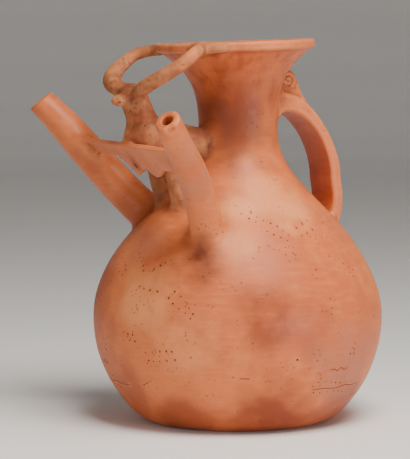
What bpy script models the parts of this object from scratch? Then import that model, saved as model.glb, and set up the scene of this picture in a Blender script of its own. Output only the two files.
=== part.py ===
"""A pear-shaped jar of burnished terracotta: flaring mouth, two tube spouts tied by a broken web,
a horned animal between them, and a strap handle with a rolled scroll at the back.

The jar stands on its base at the origin. The animal faces -Y and the handle is at +Y.
It is one fired piece, so it is one object.
"""

import math

import bmesh
import bpy
from mathutils import Matrix, Vector

MM = 0.001

# Vessel
HEIGHT = 303 * MM
BASE_RADIUS = 63 * MM
BELLY_RADIUS = 115.6 * MM
BELLY_Z = 84 * MM
BELLY_DROP = 110 * MM
HEEL_Z = 8 * MM
SHOULDER_RADIUS = 60.8 * MM
SHOULDER_Z = 178 * MM
SHOULDER_SLOPE = math.radians(46.5)
NECK_RADIUS = 31.4 * MM
NECK_Z = 232 * MM
FLARE_RADIUS = 58.9 * MM
RIM_RADIUS = 63.3 * MM
LIP_BAND = 8.2 * MM
LIP_ROUND = 2.2 * MM
WALL = 6 * MM
FLOOR = 8 * MM
MOUTH_TILT = math.radians(2.4)
MOUTH_TILT_TURN = math.radians(30)
TURNING_STEPS = 42

# Spouts
SPOUT_ANGLE = {"left": math.radians(42.5), "right": math.radians(44.5)}
SPOUT_ROOT_Z = {"left": 158 * MM, "right": 148 * MM}
SPOUT_ROOT_DEPTH = 12 * MM
SPOUT_REACH = {"left": 97.8 * MM, "right": 93.2 * MM}
SPOUT_RISE = {"left": 97.3 * MM, "right": 100.5 * MM}
SPOUT_BOW = {"left": -0.27, "right": 0.95}
SPOUT_ROOT_RADIUS = {"left": 15.2 * MM, "right": 12.9 * MM}
SPOUT_TIP_RADIUS = {"left": 11.7 * MM, "right": 9.8 * MM}
BORE_RADIUS = 4.5 * MM
CHIP_RADIUS = 7 * MM
CHIP_DEPTH = 2.5 * MM
TUBE_SIDES = 12

# Web between the spouts
WEB_TOP_Z = 224 * MM
WEB_DEPTH = 37 * MM
WEB_THICKNESS = 5 * MM

# Animal, its places given as distances in front of the vessel's axis and above the base
TRUNK_Z = 223 * MM
TRUNK_RADIUS = 13.5 * MM
CHEST_FRONT = 82 * MM
HEAD_FRONT = 91.5 * MM
HEAD_Z = 262.5 * MM
HEAD_RADIUS = 10 * MM
MUZZLE_LENGTH = 14 * MM
MUZZLE_RADIUS = 3.2 * MM
LEG_RADIUS = 5.6 * MM
LEG_SPREAD = 15.5 * MM
LEG_FOOT_FRONT = 58 * MM
HORN_ROOT_RADIUS = {"left": 6.3 * MM, "right": 5.4 * MM}
HORN_TIP_RADIUS = 4.6 * MM
HORN_SPREAD = 56.5 * MM
HORN_LIP_ANGLE = math.radians(37)

# Handle and its scroll
HANDLE_TOP_DROP = 51 * MM
HANDLE_FOOT_Z = 150 * MM
HANDLE_REACH = 79.2 * MM
HANDLE_WIDTH = 39 * MM
HANDLE_THICKNESS = 9.2 * MM
HANDLE_TOP_THICKNESS = 18.5 * MM
HANDLE_EDGE_ROUND = 3 * MM
SCROLL_RISE = 19.3 * MM
SCROLL_RADIUS = 7.6 * MM
SCROLL_WIDTH = 20 * MM
SCROLL_SEAT = 24 * MM
PELLET_RADIUS = 3.5 * MM
PELLET_SIDE = 8 * MM

# The join of the strap to the neck hangs below the rim
HANDLE_TOP_Z = HEIGHT - HANDLE_TOP_DROP

CLAY_COLOUR = (0.50, 0.19, 0.10, 1.0)
CLAY_ROUGHNESS = 0.42


def clear_scene():
    for thing in list(bpy.data.objects):
        bpy.data.objects.remove(thing, do_unlink=True)


def new_collection(name):
    collection = bpy.data.collections.new(name)
    bpy.context.scene.collection.children.link(collection)
    return collection


def bezier(start, start_handle, end_handle, end, steps):
    """Points of a cubic curve from start up to, but not including, end."""
    points = []
    for step in range(steps):
        t = step / steps
        s = 1 - t
        points.append(
            s**3 * start + 3 * s * s * t * start_handle + 3 * s * t * t * end_handle + t**3 * end
        )
    return points


def outer_profile():
    """(radius, height) points up the outside, from the base's edge to the outer edge of the lip."""
    heel_angle = math.asin((BELLY_Z - HEEL_Z) / BELLY_DROP)
    heel = Vector((BELLY_RADIUS * math.cos(heel_angle), HEEL_Z))
    heel_way = Vector((BELLY_RADIUS * math.sin(heel_angle), BELLY_DROP * math.cos(heel_angle)))
    heel_way.normalize()
    base = Vector((BASE_RADIUS, 0))
    belly = Vector((BELLY_RADIUS, BELLY_Z))
    shoulder = Vector((SHOULDER_RADIUS, SHOULDER_Z))
    inward = Vector((-math.cos(SHOULDER_SLOPE), math.sin(SHOULDER_SLOPE)))
    neck = Vector((NECK_RADIUS, NECK_Z))
    flare = Vector((FLARE_RADIUS, HEIGHT - LIP_BAND))
    outward = Vector((1, 0.8)).normalized()
    up = Vector((0, 1))

    points = bezier(base, base + Vector((HEEL_Z, 0)), heel - heel_way * HEEL_Z, heel, 4)
    lower_steps = 9
    for step in range(lower_steps):
        angle = heel_angle * (1 - step / lower_steps)
        points.append(
            Vector((BELLY_RADIUS * math.cos(angle), BELLY_Z - BELLY_DROP * math.sin(angle)))
        )
    rise = SHOULDER_Z - BELLY_Z
    points += bezier(belly, belly + up * 0.44 * rise, shoulder - inward * 0.27 * rise, shoulder, 8)
    rise = NECK_Z - SHOULDER_Z
    points += bezier(shoulder, shoulder + inward * 0.26 * rise, neck - up * 0.48 * rise, neck, 6)
    rise = HEIGHT - LIP_BAND - NECK_Z
    points += bezier(neck, neck + up * 0.63 * rise, flare - outward * 0.36 * rise, flare, 7)
    points.append(flare)
    points.append(Vector((RIM_RADIUS - LIP_ROUND / 2, HEIGHT - LIP_BAND + LIP_ROUND / 2)))
    points.append(Vector((RIM_RADIUS, HEIGHT - LIP_BAND / 2)))
    points.append(Vector((RIM_RADIUS - LIP_ROUND / 4, HEIGHT - LIP_ROUND / 2)))
    points.append(Vector((RIM_RADIUS - LIP_ROUND, HEIGHT)))
    return points


def wall_radius(height):
    """The outside's radius at a height above the base."""
    profile = outer_profile()
    for below, above in zip(profile, profile[1:]):
        if below.y <= height <= above.y:
            return below.x + (above.x - below.x) * (height - below.y) / (above.y - below.y)
    raise ValueError(f"no wall at {height}")


def wall_height(radius):
    """The height of the shoulder, above the belly, at a radius."""
    above_belly = [point for point in outer_profile() if BELLY_Z <= point.y <= NECK_Z]
    for below, above in zip(above_belly, above_belly[1:]):
        if above.x <= radius <= below.x:
            return below.y + (above.y - below.y) * (below.x - radius) / (below.x - above.x)
    raise ValueError(f"no shoulder at {radius}")


def inner_profile():
    """(radius, height) points up the inside, a wall's thickness in from the outside."""
    outside = [point for point in outer_profile() if point.y <= HEIGHT - LIP_BAND][::2]
    points = []
    for before, here, after in zip(outside, outside[1:], outside[2:]):
        along = (after - before).normalized()
        point = here + Vector((-along.y, along.x)) * WALL
        if point.y > FLOOR + WALL / 2:
            points.append(point)
    floor_edge = Vector((points[0].x - WALL, FLOOR))
    return [floor_edge, *points]


def turned(name, profile):
    """A closed solid from an (r, z) profile that runs down the outside, from the axis to the axis."""
    mesh = bpy.data.meshes.new(name)
    ends = range(len(profile) - 1)
    mesh.from_pydata([(r, 0, z) for r, z in profile], [(i, i + 1) for i in ends], [])
    guide = bpy.data.objects.new(name, mesh)
    bpy.context.scene.collection.objects.link(guide)
    screw = guide.modifiers.new("turn", "SCREW")
    screw.steps = TURNING_STEPS
    screw.render_steps = TURNING_STEPS
    screw.use_merge_vertices = True
    screw.merge_threshold = 0.00001
    screw.use_smooth_shade = True
    return as_mesh(guide)


def as_mesh(guide):
    """Makes a plain mesh object of what a guide's modifiers or curve make, and removes the guide."""
    bpy.context.view_layer.update()
    graph = bpy.context.evaluated_depsgraph_get()
    mesh = bpy.data.meshes.new_from_object(guide.evaluated_get(graph))
    made = bmesh.new()
    made.from_mesh(mesh)
    bmesh.ops.remove_doubles(made, verts=made.verts, dist=0.00001)
    bmesh.ops.recalc_face_normals(made, faces=made.faces)
    made.to_mesh(mesh)
    made.free()
    mesh.shade_smooth()
    solid = bpy.data.objects.new(guide.name + "_solid", mesh)
    solid.matrix_world = guide.matrix_world.copy()
    bpy.data.objects.remove(guide, do_unlink=True)
    return solid


def tube(name, stations, steps=3, matrix=None):
    """A smooth tube through stations of (place, radius), with filled ends."""
    curve = bpy.data.curves.new(name, "CURVE")
    curve.dimensions = "3D"
    curve.resolution_u = steps
    curve.bevel_depth = MM
    curve.bevel_resolution = (TUBE_SIDES - 4) // 2
    curve.use_fill_caps = True
    spline = curve.splines.new("BEZIER")
    spline.radius_interpolation = "CARDINAL"
    spline.bezier_points.add(len(stations) - 1)
    for point, (place, radius) in zip(spline.bezier_points, stations):
        point.co = place
        point.radius = radius / curve.bevel_depth
        point.handle_left_type = "AUTO"
        point.handle_right_type = "AUTO"
    guide = bpy.data.objects.new(name, curve)
    guide.matrix_world = matrix or Matrix()
    bpy.context.scene.collection.objects.link(guide)
    return as_mesh(guide)


def plate(name, outline, thickness, matrix, rounding=0.0):
    """A flat plate with a closed outline, lying in its matrix's XY plane."""
    curve = bpy.data.curves.new(name, "CURVE")
    curve.dimensions = "2D"
    curve.fill_mode = "BOTH"
    curve.extrude = thickness / 2 - rounding
    curve.bevel_depth = rounding
    curve.bevel_resolution = 1
    curve.offset = -rounding
    spline = curve.splines.new("POLY")
    spline.points.add(len(outline) - 1)
    for point, (x, y) in zip(spline.points, outline):
        point.co = (x, y, 0, 1)
    spline.use_cyclic_u = True
    guide = bpy.data.objects.new(name, curve)
    guide.matrix_world = matrix
    bpy.context.scene.collection.objects.link(guide)
    return as_mesh(guide)


def ball(name, place, radius):
    mesh = bpy.data.meshes.new(name)
    made = bmesh.new()
    bmesh.ops.create_uvsphere(made, u_segments=12, v_segments=8, radius=radius)
    made.to_mesh(mesh)
    made.free()
    mesh.shade_smooth()
    solid = bpy.data.objects.new(name, mesh)
    solid.location = place
    return solid


def ahead(front, side, height):
    """A place given by its distance in front of the axis, towards -Y, its side and its height."""
    return Vector((side, -front, height))


def vessel_outside():
    up_side = outer_profile()
    profile = [(0, HEIGHT)] + [tuple(point) for point in reversed(up_side)] + [(0, 0)]
    return turned("vessel_outside", profile)


def vessel_cavity():
    up_side = inner_profile()
    lip_inside = RIM_RADIUS - LIP_ROUND - WALL / 3
    top = [(0, HEIGHT + WALL), (lip_inside, HEIGHT + WALL), (lip_inside, HEIGHT + LIP_ROUND / 4)]
    profile = top + [tuple(point) for point in reversed(up_side)] + [(0, FLOOR)]
    return turned("vessel_cavity", profile)


def spout_axis(side, share):
    """(distance from the vessel's axis, height) of a spout's axis, share 0 at its root and 1 at its tip."""
    root_z = SPOUT_ROOT_Z[side]
    root_radius = wall_radius(root_z) - SPOUT_ROOT_DEPTH
    bowed = share + SPOUT_BOW[side] * share * (1 - share) ** 2
    return Vector((root_radius + SPOUT_REACH[side] * share, root_z + SPOUT_RISE[side] * bowed))


def spout_radius(side, share):
    tip = SPOUT_TIP_RADIUS[side]
    return tip + (SPOUT_ROOT_RADIUS[side] - tip) * (1 - share * share)


def spout_turn(side):
    """Turns a spout's own XZ plane to its side of the animal."""
    angle = SPOUT_ANGLE[side] if side == "right" else -SPOUT_ANGLE[side]
    return Matrix.Rotation(angle - math.pi / 2, 4, "Z")


def spout_place(side, share):
    """A place on a spout's axis in the jar's frame."""
    out, height = spout_axis(side, share)
    return spout_turn(side) @ Vector((out, 0, height))


def spout(side):
    steps = 6
    stations = []
    for step in range(steps + 1):
        share = step / steps
        out, height = spout_axis(side, share)
        stations.append(((out, 0, height), spout_radius(side, share)))
    return tube(f"spout_{side}", stations, matrix=spout_turn(side))


def spout_bore(side):
    """The pouring hole, from inside the cavity to just past the spout's end."""
    first, last, steps = -0.25, 1.05, 5
    stations = []
    for step in range(steps + 1):
        out, height = spout_axis(side, first + (last - first) * step / steps)
        stations.append(((out, 0, height), BORE_RADIUS))
    return tube(f"bore_{side}", stations, matrix=spout_turn(side))


def spout_chip():
    """The flake missing from the lower edge of the right spout's end."""
    tip = spout_place("right", 1)
    along = (tip - spout_place("right", 0.9)).normalized()
    below = (Vector((0.8, 0, -1)) - along * Vector((0.8, 0, -1)).dot(along)).normalized()
    bite = SPOUT_TIP_RADIUS["right"] + CHIP_RADIUS - CHIP_DEPTH
    return ball("spout_chip", tip + below * bite, CHIP_RADIUS)


def share_at(side, height):
    """How far along a spout its axis reaches a height."""
    low, high = 0.0, 1.0
    for _ in range(30):
        middle = (low + high) / 2
        if spout_axis(side, middle).y < height:
            low = middle
        else:
            high = middle
    return low


def web():
    """The plate between the spouts. Its top edge is straight and its lower edge is broken away."""
    left, right = (spout_place(side, share_at(side, WEB_TOP_Z)) for side in ("left", "right"))
    lower_z = WEB_TOP_Z - WEB_DEPTH
    feet = [spout_place(side, share_at(side, lower_z)) for side in ("left", "right")]
    middle = (left + right) / 2
    lateral = (right - left).normalized()
    upward = middle - (feet[0] + feet[1]) / 2
    upward = (upward - lateral * upward.dot(lateral)).normalized()
    matrix = Matrix((lateral, upward, lateral.cross(upward))).transposed().to_4x4()
    matrix.translation = middle

    span = (right - left).length / 2
    foot_spans = [abs((foot - middle).dot(lateral)) for foot in feet]
    foot_depths = [(middle - foot).dot(upward) for foot in feet]

    def edge(index, depth):
        """How far from the middle a spout's axis is at a depth below the top edge."""
        return span - (span - foot_spans[index]) * depth / foot_depths[index]

    # The break, as shares of the half span and of the depth
    broken = [
        (-0.30, 0.33),
        (-0.23, 0.50),
        (-0.19, 0.67),
        (-0.155, 0.86),
        (-0.02, 0.73),
        (0.12, 0.63),
        (0.15, 0.74),
        (0.21, 0.81),
        (0.29, 0.77),
        (0.37, 0.67),
        (0.45, 0.59),
    ]
    left_depth = 0.32 * WEB_DEPTH
    right_depth = 0.58 * WEB_DEPTH
    outline = [(span, 0), (-span, 0), (-edge(0, left_depth), -left_depth)]
    outline += [(across * span, -down * WEB_DEPTH) for across, down in broken]
    outline.append((edge(1, right_depth), -right_depth))
    return plate("web", outline, WEB_THICKNESS, matrix)


def trunk():
    """The body, from inside the vessel's neck to the chest."""
    root = wall_radius(TRUNK_Z) - WALL / 2
    middle = (root + CHEST_FRONT) / 2
    stations = [
        (ahead(root, 0, TRUNK_Z - 0.16 * TRUNK_RADIUS), 0.93 * TRUNK_RADIUS),
        (ahead(middle, 0, TRUNK_Z + 0.21 * TRUNK_RADIUS), TRUNK_RADIUS),
        (ahead(CHEST_FRONT, 0, TRUNK_Z + 0.52 * TRUNK_RADIUS), 1.07 * TRUNK_RADIUS),
    ]
    return tube("trunk", stations, steps=2)


def neck_and_head():
    """The chest, the neck and the back of the head in one tapering form."""
    lift = HEAD_Z - TRUNK_Z
    lean = HEAD_FRONT - CHEST_FRONT
    stations = [
        (ahead(CHEST_FRONT, 0, TRUNK_Z - 0.25 * lift), 0.7 * TRUNK_RADIUS),
        (ahead(CHEST_FRONT, 0, TRUNK_Z + 0.08 * lift), 1.06 * TRUNK_RADIUS),
        (ahead(CHEST_FRONT + 0.1 * lean, 0, TRUNK_Z + 0.32 * lift), 0.96 * TRUNK_RADIUS),
        (ahead(CHEST_FRONT + 0.55 * lean, 0, TRUNK_Z + 0.64 * lift), 1.15 * HEAD_RADIUS),
        (ahead(HEAD_FRONT, 0, HEAD_Z - 0.25 * HEAD_RADIUS), 1.08 * HEAD_RADIUS),
        (ahead(HEAD_FRONT + 0.1 * lean, 0, HEAD_Z + 0.75 * HEAD_RADIUS), 0.5 * HEAD_RADIUS),
    ]
    return tube("neck_and_head", stations, steps=2)


def muzzle():
    tip_z = HEAD_Z - 0.28 * MUZZLE_LENGTH
    stations = [
        (ahead(HEAD_FRONT, 0, HEAD_Z), 0.8 * HEAD_RADIUS),
        (ahead(HEAD_FRONT + 0.75 * MUZZLE_LENGTH, 0, tip_z + 0.3 * MUZZLE_RADIUS), 1.4 * MUZZLE_RADIUS),
        (ahead(HEAD_FRONT + MUZZLE_LENGTH + MUZZLE_RADIUS, 0, tip_z), 0.9 * MUZZLE_RADIUS),
    ]
    return tube("muzzle", stations, steps=2)


def leg(side):
    """A foreleg, from the chest down into the shoulder of the vessel."""
    sign = 1 if side == "right" else -1
    foot_z = wall_height(LEG_FOOT_FRONT) - WALL / 2
    spread = sign * LEG_SPREAD
    knee_front = (CHEST_FRONT + LEG_FOOT_FRONT) / 2 - 0.3 * TRUNK_RADIUS
    stations = [
        (ahead(CHEST_FRONT - TRUNK_RADIUS, 0.7 * spread, TRUNK_Z), 1.1 * LEG_RADIUS),
        (ahead(knee_front, spread, (TRUNK_Z + foot_z) / 2), LEG_RADIUS),
        (ahead(LEG_FOOT_FRONT, spread, foot_z), 1.3 * LEG_RADIUS),
    ]
    return tube(f"leg_{side}", stations)


def horn(side):
    """A horn that rises from the head, bows out to the side and lands on the lip."""
    sign = 1 if side == "right" else -1
    lip_front = RIM_RADIUS * math.cos(HORN_LIP_ANGLE)
    lip_side = RIM_RADIUS * math.sin(HORN_LIP_ANGLE)
    lip_z = HEIGHT - 0.6 * LIP_BAND
    climb = lip_z - HEAD_Z
    run = HEAD_FRONT - lip_front
    root_radius = HORN_ROOT_RADIUS[side]
    # Shares of the run back to the lip, of the spread, of the climb and of the taper
    course = [
        (0.02, 0.05, 0.08, 0.0),
        (-0.08, 0.34, 0.14, -0.2),
        (-0.06, 0.60, 0.29, -0.5),
        (0.15, 0.82, 0.50, -0.2),
        (0.44, 0.93, 0.72, 0.4),
        (0.72, 0.90, 0.92, 0.7),
    ]
    stations = []
    for back, across, rise, taper in course:
        place = ahead(HEAD_FRONT - back * run, sign * across * HORN_SPREAD, HEAD_Z + rise * climb)
        radius = root_radius + (HORN_TIP_RADIUS - root_radius) * taper
        stations.append((place, radius))
    stations.append((ahead(lip_front, sign * lip_side, lip_z), HORN_TIP_RADIUS))
    return tube(f"horn_{side}", stations)


# Turns a plate's plane so that its X runs back from the vessel's axis and its Y runs up
SIDE_VIEW = Matrix(((0, 0, 1, 0), (1, 0, 0, 0), (0, 1, 0, 0), (0, 0, 0, 1)))


def handle_centre_line():
    """(distance behind the axis, height) points down the middle of the strap."""
    top = Vector((wall_radius(HANDLE_TOP_Z) - 1.5 * WALL, HANDLE_TOP_Z))
    foot = Vector((wall_radius(HANDLE_FOOT_Z) - 2.1 * WALL, HANDLE_FOOT_Z))
    drop = HANDLE_TOP_Z - HANDLE_FOOT_Z
    bend = Vector((HANDLE_REACH, HANDLE_TOP_Z - 0.59 * drop))
    outward = Vector((1, 0.5))
    down = Vector((0, -1))
    inward = Vector((-0.5, -1))
    points = bezier(top, top + outward * 0.23 * drop, bend - down * 0.34 * drop, bend, 9)
    points += bezier(bend, bend + down * 0.07 * drop, foot - inward * 0.23 * drop, foot, 4)
    return points + [foot]


def handle_sides():
    """The strap's outer and inner edges, seen from the side."""
    line = handle_centre_line()
    outer = []
    inner = []
    for index, here in enumerate(line):
        before = line[max(index - 1, 0)]
        after = line[min(index + 1, len(line) - 1)]
        along = (after - before).normalized()
        share = index / (len(line) - 1)
        swell = (HANDLE_TOP_THICKNESS - HANDLE_THICKNESS) * max(0, 1 - 2.2 * share) ** 2
        half = (HANDLE_THICKNESS + swell) / 2
        across = Vector((-along.y, along.x)) * half
        outer.append(here + across)
        inner.append(here - across)
    return outer, inner


def handle():
    """The strap at the back, from the vessel's neck out and down to its shoulder."""
    outer, inner = handle_sides()
    return plate("handle", outer + list(reversed(inner)), HANDLE_WIDTH, SIDE_VIEW, HANDLE_EDGE_ROUND)


def strap_top(out):
    """The height of the strap's outer edge at a distance behind the axis."""
    outer, _ = handle_sides()
    for before, after in zip(outer, outer[1:]):
        if before.x <= out <= after.x:
            return before.y + (after.y - before.y) * (out - before.x) / (after.x - before.x)
    raise ValueError(f"no strap at {out}")


def scroll_seat():
    """Where the scroll's clay ends on the strap, as (distance behind the axis, height)."""
    out = wall_radius(HANDLE_TOP_Z) + SCROLL_SEAT
    return Vector((out, strap_top(out) + HANDLE_THICKNESS / 8))


def scroll():
    """The rolled end of the strap, standing on the handle against the flare, seen from the side."""
    scroll_z = HANDLE_TOP_Z + SCROLL_RISE
    centre = Vector((wall_radius(scroll_z) + 0.37 * SCROLL_RADIUS, scroll_z))
    seat = scroll_seat()
    outline = [(wall_radius(HANDLE_TOP_Z) - WALL / 2, HANDLE_TOP_Z)]
    outline.append((seat.x, seat.y - HANDLE_THICKNESS / 2))
    outline.append(tuple(seat))
    roll_steps = 12
    for step in range(roll_steps + 1):
        angle = math.radians(25 + 155 * step / roll_steps)
        outline.append(
            (centre.x + SCROLL_RADIUS * math.cos(angle), centre.y + SCROLL_RADIUS * math.sin(angle))
        )
    return plate("scroll", outline, SCROLL_WIDTH, SIDE_VIEW)


def pellet():
    """The clay pellet at the foot of the scroll, near its +X edge."""
    seat = scroll_seat()
    sunk = 0.9 * PELLET_RADIUS
    return ball("pellet", (PELLET_SIDE, seat.x - sunk, seat.y + sunk), PELLET_RADIUS)


def tilt_mouth(mesh):
    """Leans the mouth a little, its one side higher, more and more from the neck up."""
    hinge = Vector((0, 0, NECK_Z))
    axis = Vector((math.sin(MOUTH_TILT_TURN), -math.cos(MOUTH_TILT_TURN), 0))
    for vertex in mesh.vertices:
        share = min(max((vertex.co.z - NECK_Z) / (HEIGHT - NECK_Z), 0), 1)
        angle = MOUTH_TILT * share * share * (3 - 2 * share)
        vertex.co = hinge + Matrix.Rotation(angle, 3, axis) @ (vertex.co - hinge)


def clay():
    material = bpy.data.materials.new("burnished_clay")
    material.use_nodes = True
    shader = material.node_tree.nodes["Principled BSDF"]
    shader.inputs["Base Color"].default_value = CLAY_COLOUR
    shader.inputs["Roughness"].default_value = CLAY_ROUGHNESS
    shader.inputs["Metallic"].default_value = 0.0
    return material


def combine(guide, operation, collection):
    boolean = guide.modifiers.new(operation.lower(), "BOOLEAN")
    boolean.operation = operation
    boolean.solver = "EXACT"
    boolean.operand_type = "COLLECTION"
    boolean.collection = collection


def helpers(name, solids):
    """A collection of solids that are joined to the jar or cut from it, left out of a render."""
    collection = new_collection(name)
    for solid in solids:
        solid.hide_render = True
        solid.display_type = "WIRE"
        collection.objects.link(solid)
    return collection


def build():
    clear_scene()
    parts = new_collection("spouted_jar")
    guide = vessel_outside()
    guide.name = "spouted_jar_guide"
    sides = list(SPOUT_RISE)
    added = [web(), trunk(), neck_and_head(), muzzle(), handle(), scroll(), pellet()]
    for make in (spout, leg, horn):
        added += [make(side) for side in sides]
    cutters = [vessel_cavity(), spout_chip()] + [spout_bore(side) for side in sides]
    combine(guide, "UNION", helpers("joined_forms", added))
    combine(guide, "DIFFERENCE", helpers("cutters", cutters))
    parts.objects.link(guide)
    jar = as_mesh(guide)
    jar.name = "spouted_jar"
    tilt_mouth(jar.data)
    jar.data.set_sharp_from_angle(angle=math.radians(40))
    jar.data.materials.clear()
    jar.data.materials.append(clay())
    parts.objects.link(jar)


build()
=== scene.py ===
"""The looks of a pear-shaped jar of burnished terracotta, modelled over its packed solid.

It is laid out as an add-on and run as a script. The jar stands at the origin with the horned
animal towards -Y, the strap handle towards +Y and the chipped spout towards +X.
"""

import math
from collections import namedtuple

import bmesh
import bpy
import numpy as np
from bpy.props import FloatProperty, FloatVectorProperty, IntProperty, PointerProperty
from mathutils import Matrix, Vector, noise
from mathutils.bvhtree import BVHTree
from mathutils.kdtree import KDTree


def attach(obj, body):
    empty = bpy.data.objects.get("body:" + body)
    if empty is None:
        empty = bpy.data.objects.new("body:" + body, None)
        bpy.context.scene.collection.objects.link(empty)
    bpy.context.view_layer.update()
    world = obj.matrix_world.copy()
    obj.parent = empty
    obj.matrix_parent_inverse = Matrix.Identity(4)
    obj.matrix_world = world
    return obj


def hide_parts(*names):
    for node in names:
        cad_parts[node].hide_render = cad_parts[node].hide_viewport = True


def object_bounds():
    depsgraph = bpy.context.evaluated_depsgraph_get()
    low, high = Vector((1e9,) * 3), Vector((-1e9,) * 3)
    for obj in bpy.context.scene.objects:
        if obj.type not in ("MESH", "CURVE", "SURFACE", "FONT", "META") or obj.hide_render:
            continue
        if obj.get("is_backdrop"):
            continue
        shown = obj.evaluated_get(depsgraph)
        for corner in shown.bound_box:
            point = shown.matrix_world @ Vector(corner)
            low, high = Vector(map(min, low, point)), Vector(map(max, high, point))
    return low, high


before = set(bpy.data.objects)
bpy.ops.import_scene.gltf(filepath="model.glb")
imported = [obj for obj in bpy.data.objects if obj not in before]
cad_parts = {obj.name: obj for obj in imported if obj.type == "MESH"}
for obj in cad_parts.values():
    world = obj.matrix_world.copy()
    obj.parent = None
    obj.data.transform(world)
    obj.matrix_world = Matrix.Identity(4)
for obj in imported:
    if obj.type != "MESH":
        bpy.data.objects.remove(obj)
CAD_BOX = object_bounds()
NODE = "spouted_jar"

bl_info = {
    "name": "Spouted Terracotta Jar",
    "version": (1, 0, 0),
    "blender": (4, 5, 0),
    "location": "3D View > Sidebar > Jar",
    "description": "Models a pear-shaped terracotta jar with two spouts, an animal and a handle",
    "category": "Add Mesh",
}

MM = 0.001
SIDES = ("left", "right")
# A piece stays under this many triangles
MOST_TRIANGLES = 200000
# How far from a form its distance is still measured
REACH = 14 * MM
FAR = 1.0


def length(name, about, millimetres):
    return FloatProperty(name=name, description=about, default=millimetres * MM, unit="LENGTH", precision=4)


def angle(name, about, degrees):
    return FloatProperty(name=name, description=about, default=math.radians(degrees), unit="ROTATION")


def share(name, about, value):
    return FloatProperty(name=name, description=about, default=value)


def colour(name, about, value):
    return FloatVectorProperty(
        name=name, description=about, default=value, size=3, min=0.0, max=1.0, subtype="COLOR"
    )


class JarVesselSizes(bpy.types.PropertyGroup):
    """Sizes of the turned body"""

    height: length("Height", "From the base to the top of the lip, before the mouth's tilt", 303)
    base_radius: length("Base radius", "Of the flat underside", 63)
    belly_radius: length("Belly radius", "At the widest part of the body", 115.6)
    belly_height: length("Belly height", "Of the widest part above the base", 84)
    belly_drop: length("Belly drop", "Half height of the ellipse that the lower body follows", 110)
    heel_height: length("Heel height", "Where the lower body turns in to the base", 8)
    shoulder_radius: length("Shoulder radius", "Where the shoulder runs straight", 60.8)
    shoulder_height: length("Shoulder height", "Where the shoulder runs straight", 178)
    shoulder_slope: angle("Shoulder slope", "Of the straight of the shoulder", 46.5)
    neck_radius: length("Neck radius", "At the narrowest part", 31.4)
    neck_height: length("Neck height", "Of the narrowest part above the base", 232)
    flare_radius: length("Flare radius", "Just under the lip", 58.9)
    rim_radius: length("Rim radius", "Of the lip's outer edge", 63.3)
    lip_band: length("Lip band", "Height of the band round the lip", 8.2)
    lip_round: length("Lip rounding", "Of the band's upper edge", 2.2)
    wall: length("Wall", "Thickness of the clay", 6)
    floor: length("Floor", "Thickness of the clay at the bottom", 8)
    mouth_tilt: angle("Mouth tilt", "How far the mouth leans", 2.4)
    tilt_turn: angle("Tilt turn", "Of the mouth's high side, from +X towards +Y", 30)


class JarSpoutSizes(bpy.types.PropertyGroup):
    """Sizes of the two spouts and the web between them"""

    left_turn: angle("Left turn", "Of the left spout from the animal's side", 42.5)
    right_turn: angle("Right turn", "Of the right spout from the animal's side", 44.5)
    left_root_height: length("Left root height", "Of the axis where the left spout starts", 158)
    right_root_height: length("Right root height", "Of the axis where the right spout starts", 148)
    root_depth: length("Root depth", "Of that start inside the body's outside", 12)
    left_reach: length("Left reach", "Of the left spout outwards", 97.8)
    right_reach: length("Right reach", "Of the right spout outwards", 93.2)
    left_rise: length("Left rise", "Of the left spout's axis", 97.3)
    right_rise: length("Right rise", "Of the right spout's axis", 100.5)
    left_bow: share("Left bow", "How far the left spout's axis bends, as a share of its rise", -0.27)
    right_bow: share("Right bow", "How far the right spout's axis bends, as a share of its rise", 0.95)
    left_root_radius: length("Left root radius", "Of the left spout's root", 15.2)
    right_root_radius: length("Right root radius", "Of the right spout's root", 12.9)
    left_tip_radius: length("Left tip radius", "Of the left spout's end", 11.7)
    right_tip_radius: length("Right tip radius", "Of the right spout's end", 9.8)
    tip_round: length("Tip rounding", "Of the edge of a spout's end", 2.6)
    bore_radius: length("Bore radius", "Of the pouring holes", 4.5)
    chip_radius: length("Chip radius", "Of the hollow left by the flake at the right spout's end", 7)
    chip_depth: length("Chip depth", "Of that hollow", 2.5)
    web_top: length("Web top", "Height of the web's straight edge on the spouts' axes", 224)
    web_depth: length("Web depth", "From that edge down to the lowest point of the break", 37)
    web_thickness: length("Web thickness", "Of the plate between the spouts", 5)


class JarAnimalSizes(bpy.types.PropertyGroup):
    """Sizes of the horned animal, its places given in front of the jar's axis and above the base"""

    trunk_height: length("Trunk height", "Of the trunk's axis", 223)
    trunk_radius: length("Trunk radius", "Of the trunk", 13.5)
    chest_front: length("Chest front", "Of the chest's axis", 82)
    head_front: length("Head front", "Of the head's centre", 91.5)
    head_height: length("Head height", "Of the head's centre", 262.5)
    head_radius: length("Head radius", "Of the head", 10)
    muzzle_length: length("Muzzle length", "From the head's centre", 14)
    muzzle_radius: length("Muzzle radius", "At its tip", 3.2)
    leg_radius: length("Leg radius", "Of a foreleg", 5.6)
    leg_spread: length("Leg spread", "Of a foreleg's foot from the middle", 15.5)
    foot_front: length("Foot front", "Of a foreleg's foot", 58)
    left_horn_radius: length("Left horn radius", "Where the left horn leaves the head", 6.3)
    right_horn_radius: length("Right horn radius", "Where the right horn leaves the head", 5.4)
    horn_tip_radius: length("Horn tip radius", "Where a horn lands on the lip", 4.6)
    horn_spread: length("Horn spread", "Of a horn from the middle at its widest", 56.5)
    horn_landing: angle("Horn landing", "Where a horn lands on the lip, from the front", 37)


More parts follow.
